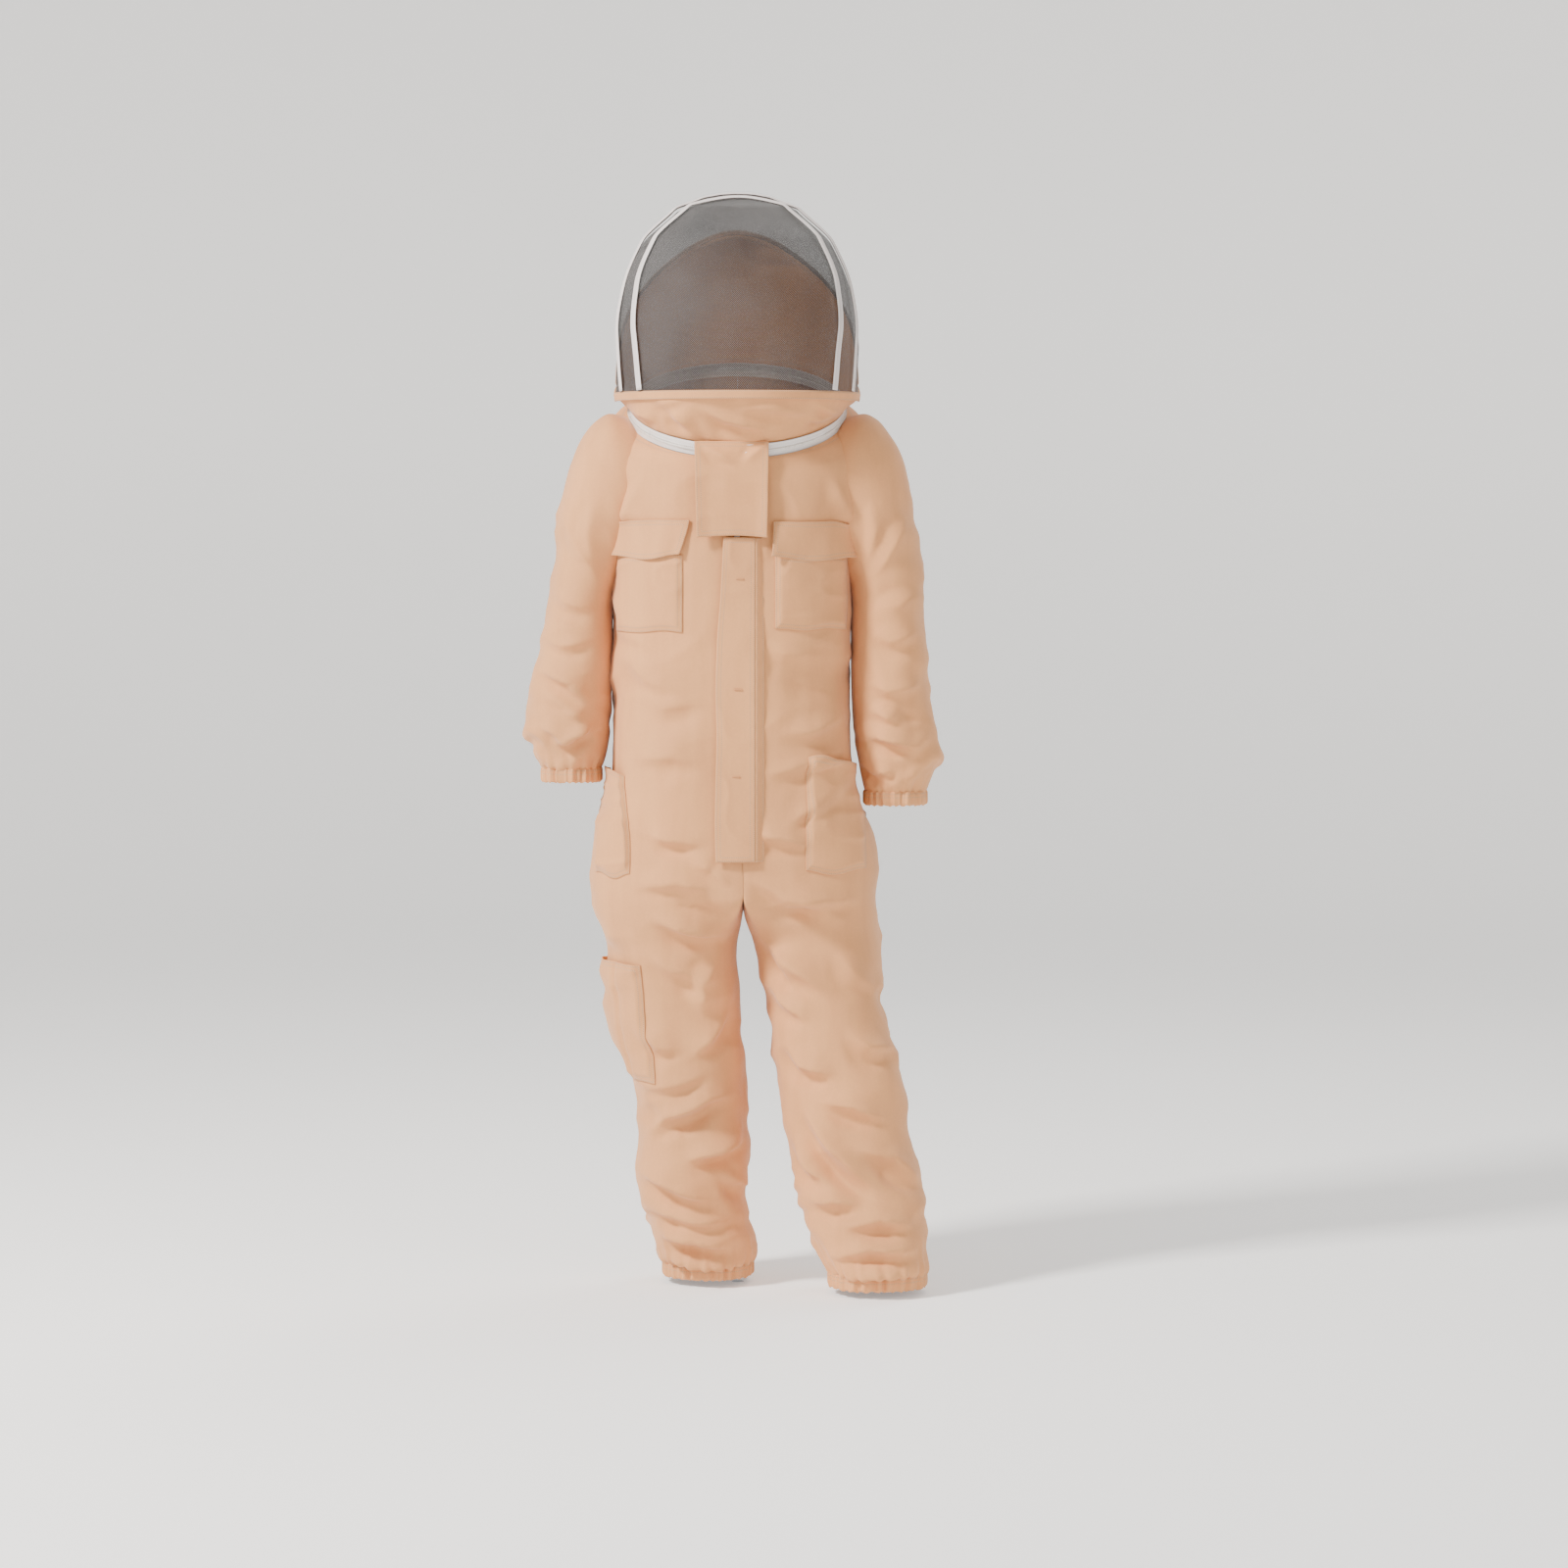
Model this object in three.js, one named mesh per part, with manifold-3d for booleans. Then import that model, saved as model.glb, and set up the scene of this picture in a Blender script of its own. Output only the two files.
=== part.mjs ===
// Hooded beekeeping suit: a one-piece coverall with a zipped, hooped mesh hood.
// Millimetres, +Z up. The front of the suit faces -Y and the wearer's left is +X.
// The origin is the centre of the shoulder line, on the axis of the neck zip.
import * as THREE from "three";
import Module from "manifold-3d";

const wasm = await Module();
wasm.setup();

// ---------------------------------------------------------------- driving dimensions
const GAP = 0.3; // clearance between pieces that are sewn or seated together
const CLOTH = 2.5; // solid thickness that stands for a cloth wall and its lining of air
const NET = 1.5; // veil netting
const MIDDLE_Y = 14; // depth of the side seams and of the neck ring's centre

const NECK_RADIUS = 166;
const NECK_TILT = THREE.MathUtils.degToRad(25); // the neck zip runs lower in front
const ZIP_TAPE_HEIGHT = 9;
const ZIP_TAPE = 3;
const SLIDER_LENGTH = 16;
const SLIDER_RISE = 5.5; // how far a slider and its pull stand off the tape
const NECK_SLIDER_ANGLE = 12; // degrees from centre front where each slider parks

const FRONT_Y = -134; // the flat front of the trunk
const BACK_Y = 146;
const CHEST_HALF_WIDTH = 185;
const HIP_HALF_WIDTH = 223;
const TRUNK_OFFSET_X = -7; // the trunk leans slightly to the wearer's right
const HIP_Z = -730; // trunk hem, and the height of the leg pivots

const SHOULDER_X = 185;
const SHOULDER_Z = -110;
const SHOULDER_RADIUS = 66; // round head of the sleeve
const SHOULDER_HALF_DEPTH = 60;
const ARMHOLE_CLEARANCE = 0.9;

const HEM_Z = -1319; // lower end of each leg's cloth, above its hem casing
const CASING_HEIGHT = 23;
const CASING_WALL = 2;
const ELASTIC_WIDTH = 13;
const ELASTIC_THICKNESS = 4.4;

const HOOP_LINE = 19; // height of the veil's base hoop at its sides
const HOOP_BAND_HEIGHT = 14;
const HOOP_BAND = 5;
const HOOP_TAPE_WIDTH = 12;
const HOOP_TAPE = 3;
const HOOD_TOP = 327;
const CORNER_ANGLE = 99; // degrees from centre front where the bib ends

const ZIP_TOP = -92;
const ZIP_BOTTOM = -664;
const ZIP_HALF_WIDTH = 3;
const FRONT_EDGE = 7; // half the gap between the front panels, where the zip shows
const ZIP_TAPE_REACH = 18;
const TAPE_SETBACK = 0.9; // the tapes lie this far behind the panels, which curve back
const PLACKET_FREE_X = -31;
const PLACKET_HINGE_X = 28;
const TAB_BOTTOM = -197;
const PLACKET_TOP = TAB_BOTTOM - 3; // the placket starts just under the neck tab
const PLACKET_BOTTOM = -690;
const PLACKET_STAND = 6.5; // room under the placket for the slider and its pull
const PLACKET = 2;
const PLACKET_SEAM = 12;

const TAB_LEFT = 48;
const TAB_RIGHT = -64;
const TAB_TOP = -54;
const TAB = 2;
const PAD = 3.2; // one half of a hook-and-loop fastener
const PAD_INNER_X = 10;
const PAD_OUTER_X = 34;
const PAD_TOP = -118;
const PAD_BOTTOM = -168;

const POCKET = 2.2;
const FLAP = 2.2;

// ---------------------------------------------------------------- finishes
const finish = (color, roughness) => new THREE.MeshStandardMaterial({ color, roughness, metalness: 0 });
const TWILL = 0xd2a987;
const WHITE_TAPE = 0xe6e1dc;
const ELASTIC_WHITE = 0xdad2c6;
const NET_BLACK = 0x17171a;
const PAD_TAN = 0xb98f6c;

const suit = new THREE.Group();

/** Adds one closed body to the suit under its own name. */
function add(name, geometry, color = TWILL, roughness = 0.85) {
  const mesh = new THREE.Mesh(geometry, finish(color, roughness));
  mesh.name = name;
  suit.add(mesh);
}

// ---------------------------------------------------------------- closed bodies
const WELD = 1e4; // points closer than one part in this per millimetre are one point

/** Welds points, drops triangles with no area and turns the body's faces outward. */
function closedBody(points, triangles) {
  const slots = new Map();
  const kept = [];
  const slotOf = points.map((p) => {
    const key = [p.x, p.y, p.z].map((value) => Math.round(value * WELD)).join(",");
    if (!slots.has(key)) {
      slots.set(key, kept.length);
      kept.push(p);
    }
    return slots.get(key);
  });
  const faces = triangles
    .map((face) => face.map((corner) => slotOf[corner]))
    .filter(([a, b, c]) => a !== b && b !== c && c !== a);
  const cross = new THREE.Vector3();
  const volume = faces.reduce(
    (sum, [a, b, c]) => sum + kept[a].dot(cross.crossVectors(kept[b], kept[c])),
    0,
  );
  const index = faces.flatMap(([a, b, c]) => (volume > 0 ? [a, b, c] : [a, c, b]));
  const geometry = new THREE.BufferGeometry().setFromPoints(kept);
  return geometry.setIndex(index);
}

/** The closed body of a geometry whose faces don't share their points. */
function welded(geometry) {
  const place = geometry.getAttribute("position");
  const points = [];
  for (let i = 0; i < place.count; i += 1) {
    points.push(new THREE.Vector3().fromBufferAttribute(place, i));
  }
  const order = geometry.index ? Array.from(geometry.index.array) : points.map((_, i) => i);
  const triangles = [];
  for (let i = 0; i < order.length; i += 3) {
    triangles.push(order.slice(i, i + 3));
  }
  return closedBody(points, triangles);
}

/** A box between two opposite corners. */
function box(low, high) {
  const size = high.map((value, i) => value - low[i]);
  const middle = high.map((value, i) => (value + low[i]) / 2);
  return welded(new THREE.BoxGeometry(...size).translate(...middle));
}

function toManifold(geometry) {
  const vertProperties = new Float32Array(geometry.getAttribute("position").array);
  const triVerts = new Uint32Array(geometry.index.array);
  return new wasm.Manifold(new wasm.Mesh({ numProp: 3, vertProperties, triVerts }));
}

function fromManifold(solid) {
  const mesh = solid.getMesh();
  const points = [];
  for (let i = 0; i < mesh.vertProperties.length; i += mesh.numProp) {
    points.push(new THREE.Vector3().fromArray(mesh.vertProperties, i));
  }
  const triangles = [];
  for (let i = 0; i < mesh.triVerts.length; i += 3) {
    triangles.push(Array.from(mesh.triVerts.slice(i, i + 3)));
  }
  return closedBody(points, triangles);
}

// ---------------------------------------------------------------- surfaces
const SLOPE_STEP = 0.01;

/** A point of surface(u, v), moved off it by distance along its outward side. */
function offPoint(surface, u, v, distance) {
  const here = surface(u, v);
  const along = surface(u + SLOPE_STEP, v).sub(surface(u - SLOPE_STEP, v));
  const up = surface(u, v + SLOPE_STEP).sub(surface(u, v - SLOPE_STEP));
  const normal = along.cross(up).normalize();
  return here.addScaledVector(normal, distance);
}

/**
 * A cloth-like body between two offsets of a surface. u runs round the body from
 * one edge to the other, and heights(u) lists the values of v there, from low to high.
 */
function slab(surface, { from, to, columns, heights, outer = 0, inner = -CLOTH }) {
  const closed = to - from >= 360;
  const across = closed ? columns : columns + 1;
  const rows = heights(from).length - 1;
  const points = [];
  for (let i = 0; i < across; i += 1) {
    const u = from + ((to - from) * i) / columns;
    for (const v of heights(u)) {
      points.push(offPoint(surface, u, v, outer), offPoint(surface, u, v, inner));
    }
  }
  const at = (i, j, side) => ((i % across) * (rows + 1) + j) * 2 + side;
  const triangles = [];
  const quad = (a, b, c, d) => triangles.push([a, b, c], [a, c, d]);
  for (let i = 0; i < columns; i += 1) {
    for (let j = 0; j < rows; j += 1) {
      quad(at(i, j, 0), at(i + 1, j, 0), at(i + 1, j + 1, 0), at(i, j + 1, 0));
      quad(at(i, j + 1, 1), at(i + 1, j + 1, 1), at(i + 1, j, 1), at(i, j, 1));
    }
    quad(at(i, 0, 1), at(i + 1, 0, 1), at(i + 1, 0, 0), at(i, 0, 0));
    quad(at(i, rows, 0), at(i + 1, rows, 0), at(i + 1, rows, 1), at(i, rows, 1));
  }
  for (let j = 0; j < rows && !closed; j += 1) {
    quad(at(0, j, 1), at(0, j, 0), at(0, j + 1, 0), at(0, j + 1, 1));
    quad(at(columns, j, 0), at(columns, j, 1), at(columns, j + 1, 1), at(columns, j + 1, 0));
  }
  return closedBody(points, triangles);
}

/** Heights spread evenly from low to high. */
const evenly = (low, high, rows) =>
  Array.from({ length: rows + 1 }, (_, j) => THREE.MathUtils.lerp(low, high, j / rows));

/** A body swept along frames of { origin, out, up }, with a profile of [out, up] pairs. */
function sweep(frames, profile, closed = true) {
  const count = profile.length;
  const points = frames.flatMap(({ origin, out, up }) =>
    profile.map(([a, b]) => origin.clone().addScaledVector(out, a).addScaledVector(up, b)),
  );
  const triangles = [];
  const spans = closed ? frames.length : frames.length - 1;
  for (let i = 0; i < spans; i += 1) {
    const next = ((i + 1) % frames.length) * count;
    for (let j = 0; j < count; j += 1) {
      const k = (j + 1) % count;
      triangles.push([i * count + j, next + j, next + k], [i * count + j, next + k, i * count + k]);
    }
  }
  const last = (frames.length - 1) * count;
  for (let j = 1; j < count - 1 && !closed; j += 1) {
    triangles.push([0, j, j + 1], [last, last + j + 1, last + j]);
  }
  return closedBody(points, triangles);
}

const rectangle = (outLow, outHigh, upLow, upHigh) => [
  [outLow, upLow],
  [outHigh, upLow],
  [outHigh, upHigh],
  [outLow, upHigh],
];

/** The section of a form at one height, worked out between its two nearest stations. */
function stationAt(stations, height) {
  const above = stations.findIndex((station) => station.h <= height);
  const low = stations[above < 0 ? stations.length - 1 : Math.max(above, 1)];
  const high = stations[stations.indexOf(low) - 1];
  const share = (height - low.h) / (high.h - low.h);
  const mix = {};
  for (const key of Object.keys(low)) {
    mix[key] = THREE.MathUtils.lerp(low[key], high[key], share);
  }
  return mix;
}

const signedPower = (value, power) => Math.sign(value) * Math.abs(value) ** power;

/** A point round a rounded-box section: u is 0 at centre front and 90 at the +X side. */
function sectionPoint(section, u) {
  const angle = THREE.MathUtils.degToRad(u);
  const across = signedPower(Math.sin(angle), 2 / section.square);
  const along = signedPower(Math.cos(angle), 2 / section.square);
  const depth = along > 0 ? section.middle - section.front : section.back - section.middle;
  const y = section.middle - depth * along;
  const tilt = along > 0 ? section.tiltFront : section.tiltBack;
  return new THREE.Vector3(section.x + section.half * across, y, section.h + tilt * (y - section.middle));
}

/** The angle at which a section reaches a given x on the front. */
function angleAtX(section, x) {
  const share = (x - section.x) / section.half;
  return THREE.MathUtils.radToDeg(Math.asin(signedPower(share, section.square / 2)));
}

// ---------------------------------------------------------------- trunk
const NECK_DEPTH = NECK_RADIUS * Math.cos(NECK_TILT);
const NECK_SLOPE = Math.tan(NECK_TILT);
const NECK_EDGE = (ZIP_TAPE_HEIGHT + GAP) / Math.cos(NECK_TILT);

function neckSection(height) {
  return {
    h: height,
    x: 0,
    half: NECK_RADIUS,
    middle: MIDDLE_Y,
    front: MIDDLE_Y - NECK_DEPTH,
    back: MIDDLE_Y + NECK_DEPTH,
    square: 2,
    tiltFront: NECK_SLOPE,
    tiltBack: NECK_SLOPE,
  };
}

function trunkSection(h, half, back, square, tilt, x = TRUNK_OFFSET_X) {
  return { h, x, half, middle: MIDDLE_Y, front: FRONT_Y, back, square, tiltFront: tilt, tiltBack: tilt };
}

const TRUNK = [
  neckSection(-NECK_EDGE),
  trunkSection(-60, CHEST_HALF_WIDTH - 13, BACK_Y + 14, 2.2, 0.3, 0),
  trunkSection(-120, CHEST_HALF_WIDTH - 3, BACK_Y + 6, 2.4, 0.12, -2),
  trunkSection(-200, CHEST_HALF_WIDTH, BACK_Y, 2.6, 0),
  trunkSection(-400, CHEST_HALF_WIDTH - 1, BACK_Y - 4, 2.6, 0),
  trunkSection(-615, CHEST_HALF_WIDTH + 5, BACK_Y - 2, 2.6, 0),
  trunkSection(-660, HIP_HALF_WIDTH - 7, BACK_Y + 5, 2.6, 0),
  trunkSection(HIP_Z, HIP_HALF_WIDTH, BACK_Y + 6, 2.6, 0),
];

const trunkSurface = (u, v) => sectionPoint(stationAt(TRUNK, v), u);
const trunkHeights = () => TRUNK.map((section) => section.h).reverse();
const SIDE_SEAM = 88; // degrees from centre front
const SEAM_ANGLE = 0.1; // half the angle of the gap at a seam, in degrees
const HEAD_SIDES = 32; // sides of the sleeve's round head and of its armhole

/** The room that a sleeve's round head turns in. */
function armholeCutter(side) {
  const radius = SHOULDER_RADIUS + ARMHOLE_CLEARANCE;
  const length = 2 * (SHOULDER_HALF_DEPTH + ARMHOLE_CLEARANCE);
  const drum = new THREE.CylinderGeometry(radius, radius, length, HEAD_SIDES);
  return toManifold(welded(drum.translate(side * SHOULDER_X, 0, SHOULDER_Z)));
}

function withArmholes(panel, sides) {
  const cut = (solid, side) => solid.subtract(armholeCutter(side));
  return fromManifold(sides.reduce(cut, toManifold(panel)));
}

/** Half of the front, from its edge beside the zip (u = 0) to its side seam (u = 1). */
function frontPanel(side) {
  const surface = (u, v) => {
    const section = stationAt(TRUNK, v);
    const edge = angleAtX(section, side * FRONT_EDGE);
    return sectionPoint(section, THREE.MathUtils.lerp(edge, side * (SIDE_SEAM - SEAM_ANGLE), u));
  };
  const outward = side > 0 ? { outer: 0, inner: -CLOTH } : { outer: 0, inner: CLOTH };
  return withArmholes(slab(surface, { from: 0, to: 1, columns: 9, heights: trunkHeights, ...outward }), [side]);
}

const backEdge = SIDE_SEAM + SEAM_ANGLE;
const backShape = { from: backEdge, to: 360 - backEdge, columns: 18, heights: trunkHeights };
add("back_panel", withArmholes(slab(trunkSurface, backShape), [-1, 1]));
add("front_panel_left", frontPanel(1));
add("front_panel_right", frontPanel(-1));

// ---------------------------------------------------------------- front zip
for (const [name, side] of [["left", 1], ["right", -1]]) {
  const reach = [side * GAP, side * ZIP_TAPE_REACH].sort((a, b) => a - b);
  const back = FRONT_Y + CLOTH + TAPE_SETBACK;
  const low = [reach[0], back, ZIP_BOTTOM];
  add(`main_zip_tape_${name}`, box(low, [reach[1], back + 1, ZIP_TOP]), WHITE_TAPE, 0.8);
}
const CHAIN_FACE = FRONT_Y - 0.5;
const chainLow = [-ZIP_HALF_WIDTH, CHAIN_FACE, ZIP_BOTTOM];
const chainBack = FRONT_Y + CLOTH + TAPE_SETBACK - GAP;
add("main_zip_chain", box(chainLow, [ZIP_HALF_WIDTH, chainBack, ZIP_TOP]), WHITE_TAPE, 0.5);

const SLIDER_TOP = ZIP_TOP - 2;
const sliderBack = CHAIN_FACE - GAP;
const sliderFace = sliderBack - 2.4;
add(
  "main_zip_slider",
  box([-5, sliderFace, SLIDER_TOP - SLIDER_LENGTH], [5, sliderBack, SLIDER_TOP]),
  WHITE_TAPE,
  0.4,
);
const pullTop = SLIDER_TOP - SLIDER_LENGTH / 2;
add("main_zip_pull", box([-3.5, sliderFace - GAP - 1.2, pullTop - 30], [3.5, sliderFace - GAP, pullTop]), WHITE_TAPE, 0.4);

// ---------------------------------------------------------------- placket
const placketBack = FRONT_Y - PLACKET_STAND;
const placketFace = placketBack - PLACKET;
add("placket", box([PLACKET_FREE_X, placketFace, PLACKET_BOTTOM], [PLACKET_HINGE_X, placketBack, PLACKET_TOP]));
add(
  "placket_seam",
  box(
    [PLACKET_HINGE_X + GAP, placketFace, PLACKET_BOTTOM],
    [PLACKET_HINGE_X + PLACKET_SEAM, FRONT_Y + 0.1, PLACKET_TOP],
  ),
);

// ---------------------------------------------------------------- patch pockets and flaps
const PATCH_GAP = 0.7; // a patch lies this far off the cloth, which bends under it

/** A patch that lies on the trunk between two angles and two heights. */
function trunkPatch(from, to, low, high, outer, inner) {
  const between = trunkHeights().filter((height) => height > low && height < high);
  const heights = () => [low, ...between, high];
  return slab(trunkSurface, { from, to, columns: 8, heights, outer, inner });
}

const CHEST_POCKET = { inner: 67, outer: 164, top: -232, bottom: -346 };
const CHEST_FLAP = { inner: 62, outer: 166, top: -172, bottom: -234 };
for (const [name, side] of [["left", 1], ["right", -1]]) {
  const span = (patch) => {
    const ends = [patch.inner, patch.outer].map((x) => angleAtX(TRUNK[3], side * x + TRUNK_OFFSET_X));
    return ends.sort((a, b) => a - b);
  };
  const pocketOuter = PATCH_GAP + POCKET;
  const [from, to] = span(CHEST_POCKET);
  add(
    `chest_pocket_${name}`,
    trunkPatch(from, to, CHEST_POCKET.bottom, CHEST_POCKET.top, pocketOuter, PATCH_GAP),
  );
  const [flapFrom, flapTo] = span(CHEST_FLAP);
  const flapInner = pocketOuter + GAP;
  add(
    `chest_flap_${name}`,
    trunkPatch(flapFrom, flapTo, CHEST_FLAP.bottom, CHEST_FLAP.top, flapInner + FLAP, flapInner),
  );
}
const HIP_POCKET_INNER = 100;
const HIP_POCKET_OUTER = 196;
const HIP_POCKET_TOP = -548;
const HIP_POCKET_BOTTOM = -708;
for (const [name, side] of [["left", 1], ["right", -1]]) {
  const low = TRUNK[TRUNK.length - 1];
  const ends = [HIP_POCKET_INNER, HIP_POCKET_OUTER].map((x) => angleAtX(low, side * x + TRUNK_OFFSET_X));
  const [from, to] = ends.sort((a, b) => a - b);
  const outer = PATCH_GAP + POCKET;
  add(`hip_pocket_${name}`, trunkPatch(from, to, HIP_POCKET_BOTTOM, HIP_POCKET_TOP, outer, PATCH_GAP));
}

// ---------------------------------------------------------------- sleeves and legs
function limbSection(h, x, middle, half, depth, square = 2.3) {
  const [front, back] = [middle - depth, middle + depth];
  return { h, x, half, middle, front, back, square, tiltFront: 0, tiltBack: 0 };
}

const thinner = (section, by) => ({
  ...section,
  half: section.half - by,
  front: section.front + by,
  back: section.back - by,
});

/** A solid plug through a limb's stations, from its first to its last. */
function limbPlug(stations, columns) {
  const points = [];
  const triangles = [];
  for (const section of stations) {
    for (let i = 0; i < columns; i += 1) {
      points.push(sectionPoint(section, (360 * i) / columns));
    }
  }
  for (let row = 0; row < stations.length - 1; row += 1) {
    for (let i = 0; i < columns; i += 1) {
      const [a, b] = [row * columns + i, row * columns + ((i + 1) % columns)];
      triangles.push([a, b, b + columns], [a, b + columns, a + columns]);
    }
  }
  for (const row of [0, stations.length - 1]) {
    const centre = points.push(new THREE.Vector3(stations[row].x, stations[row].middle, stations[row].h)) - 1;
    for (let i = 0; i < columns; i += 1) {
      const [a, b] = [row * columns + i, row * columns + ((i + 1) % columns)];
      triangles.push(row === 0 ? [centre, b, a] : [centre, a, b]);
    }
  }
  return closedBody(points, triangles);
}

const LIMB_COLUMNS = 24;

/** A casing that hangs from a limb's end, open upward, with an elastic band in it. */
function addCasing(casing, elastic, section) {
  const top = section.h - GAP;
  const room = ELASTIC_THICKNESS + 2 * GAP;
  const depth = 2 * CASING_WALL + room;
  const frames = (columns) =>
    Array.from({ length: columns }, (_, i) => {
      const u = (360 * i) / columns;
      const surface = (angle, height) => sectionPoint({ ...section, h: height }, angle);
      const origin = surface(u, top);
      const out = offPoint(surface, u, top, 1).sub(origin);
      return { origin, out, up: new THREE.Vector3(0, 0, 1) };
    });
  const channel = [
    [0, 0],
    [0, -CASING_HEIGHT],
    [-depth, -CASING_HEIGHT],
    [-depth, 0],
    [CASING_WALL - depth, 0],
    [CASING_WALL - depth, CASING_WALL - CASING_HEIGHT],
    [-CASING_WALL, CASING_WALL - CASING_HEIGHT],
    [-CASING_WALL, 0],
  ];
  add(casing, sweep(frames(LIMB_COLUMNS), channel));
  const floor = CASING_WALL + GAP - CASING_HEIGHT;
  const inner = -CASING_WALL - GAP - ELASTIC_THICKNESS;
  const band = rectangle(inner, -CASING_WALL - GAP, floor, floor + ELASTIC_WIDTH);
  add(elastic, sweep(frames(LIMB_COLUMNS), band), ELASTIC_WHITE, 0.9);
}

const SLEEVE_LEFT = [
  limbSection(SHOULDER_Z, 222, 0, 28, 56),
  limbSection(-165, 232, 0, 42, 64),
  limbSection(-271, 241, 0, 48, 68),
  limbSection(-415, 246, 0, 50, 66),
  limbSection(-520, 251, 0, 58, 66),
  limbSection(-572, 244, 0, 52, 60),
  limbSection(-588, 241, 0, 46, 50),
];
const SLEEVE_RIGHT = [
  limbSection(SHOULDER_Z, -222, 0, 28, 56),
  limbSection(-165, -233, 0, 40, 64),
  limbSection(-271, -246, 0, 44, 68),
  limbSection(-415, -260, 0, 53, 66),
  limbSection(-500, -264, 0, 56, 64),
  limbSection(-536, -258, 0, 50, 58),
  limbSection(-552, -254, 0, 45, 49),
];

/** A sleeve: a tube with a round head that turns in the armhole and opens to the trunk. */
function sleeve(stations, side) {
  const drum = (by) => {
    const radius = SHOULDER_RADIUS - by;
    const shape = new THREE.CylinderGeometry(radius, radius, 2 * (SHOULDER_HALF_DEPTH - by), HEAD_SIDES);
    return toManifold(welded(shape.translate(side * SHOULDER_X, 0, SHOULDER_Z)));
  };
  const last = stations[stations.length - 1];
  const hollow = stations.map((section) => thinner(section, CLOTH));
  hollow.push({ ...thinner(last, CLOTH), h: last.h - 1 });
  const outside = drum(0).add(toManifold(limbPlug(stations, LIMB_COLUMNS)));
  const inside = drum(CLOTH).add(toManifold(limbPlug(hollow, LIMB_COLUMNS)));
  const doorX = [side * (SHOULDER_X - SHOULDER_RADIUS - 1), side * (SHOULDER_X - 20)].sort((a, b) => a - b);
  const doorHalf = [SHOULDER_HALF_DEPTH - 10, SHOULDER_RADIUS - 16];
  const door = box(
    [doorX[0], -doorHalf[0], SHOULDER_Z - doorHalf[1]],
    [doorX[1], doorHalf[0], SHOULDER_Z + doorHalf[1]],
  );
  return fromManifold(outside.subtract(inside).subtract(toManifold(door)));
}

add("sleeve_left", sleeve(SLEEVE_LEFT, 1));
addCasing("cuff_left", "wrist_elastic_left", SLEEVE_LEFT[SLEEVE_LEFT.length - 1]);
add("sleeve_right", sleeve(SLEEVE_RIGHT, -1));
addCasing("cuff_right", "wrist_elastic_right", SLEEVE_RIGHT[SLEEVE_RIGHT.length - 1]);

const LEG_HEAD = 114; // radius of the leg's top about its pivot
const LEG_PIVOT_Y = 8;
const headDepth = (rise) => Math.sqrt(LEG_HEAD ** 2 - rise ** 2);
const LEG_LEFT = [
  limbSection(HIP_Z + 60, 103, LEG_PIVOT_Y, 88, headDepth(60), 2),
  limbSection(HIP_Z + 30, 107, LEG_PIVOT_Y, 96, headDepth(30), 2),
  limbSection(HIP_Z, 111, LEG_PIVOT_Y, 101.7, LEG_HEAD, 2),
  limbSection(-800, 113, 4, 99, 108, 2),
  limbSection(-968, 142, -22, 88, 100),
  limbSection(-1112, 165, -48, 93, 90),
  limbSection(-1256, 197, -82, 92, 84),
  limbSection(-1300, 208, -95, 84, 78),
  limbSection(HEM_Z, 214, -100, 68, 64),
];
const LEG_RIGHT = [
  limbSection(HIP_Z + 60, -104, LEG_PIVOT_Y, 102, headDepth(60), 2),
  limbSection(HIP_Z + 30, -107, LEG_PIVOT_Y, 110, headDepth(30), 2),
  limbSection(HIP_Z, -110.6, LEG_PIVOT_Y, 116.2, LEG_HEAD, 2),
  limbSection(-800, -101, 8, 104, 112, 2),
  limbSection(-968, -94, 6, 93, 102),
  limbSection(-1112, -66, 4, 84, 92),
  limbSection(-1190, -72, 4, 87, 90),
  limbSection(-1290, -50, 6, 80, 82),
  limbSection(HEM_Z, -46, 6, 64, 66),
];

/** A leg: one tube of cloth, open at the waist end and at the hem. */
function leg(stations) {
  const surface = (u, v) => sectionPoint(stationAt(stations, v), u);
  const heights = () => stations.map((section) => section.h).reverse();
  return slab(surface, { from: 0, to: 360, columns: LIMB_COLUMNS, heights });
}

add("leg_left", leg(LEG_LEFT));
addCasing("hem_left", "ankle_elastic_left", LEG_LEFT[LEG_LEFT.length - 1]);
add("leg_right", leg(LEG_RIGHT));
addCasing("hem_right", "ankle_elastic_right", LEG_RIGHT[LEG_RIGHT.length - 1]);

const TOOL_POCKET = { from: -88, to: -34, top: -846, bottom: -1010 };
const toolSurface = (u, v) => sectionPoint(stationAt(LEG_RIGHT, v), u);
const toolShape = {
  from: TOOL_POCKET.from,
  to: TOOL_POCKET.to,
  columns: 6,
  heights: () => [TOOL_POCKET.bottom, -968, TOOL_POCKET.top],
  outer: PATCH_GAP + POCKET,
  inner: PATCH_GAP,
};
add("tool_pocket", slab(toolSurface, toolShape));

// ---------------------------------------------------------------- neck zip
const NECK_AXIS = new THREE.Vector3(0, -Math.sin(NECK_TILT), Math.cos(NECK_TILT));
const NECK_CENTRE = new THREE.Vector3(0, MIDDLE_Y, 0);

/** A frame on the neck ring, at an angle round it from centre front. */
function neckFrame(degrees) {
  const angle = THREE.MathUtils.degToRad(degrees);
  const front = new THREE.Vector3(0, -Math.cos(NECK_TILT), -Math.sin(NECK_TILT));
  const out = front.multiplyScalar(Math.cos(angle)).add(new THREE.Vector3(Math.sin(angle), 0, 0));
  const origin = NECK_CENTRE.clone().addScaledVector(out, NECK_RADIUS);
  return { origin, out, up: NECK_AXIS };
}

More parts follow.
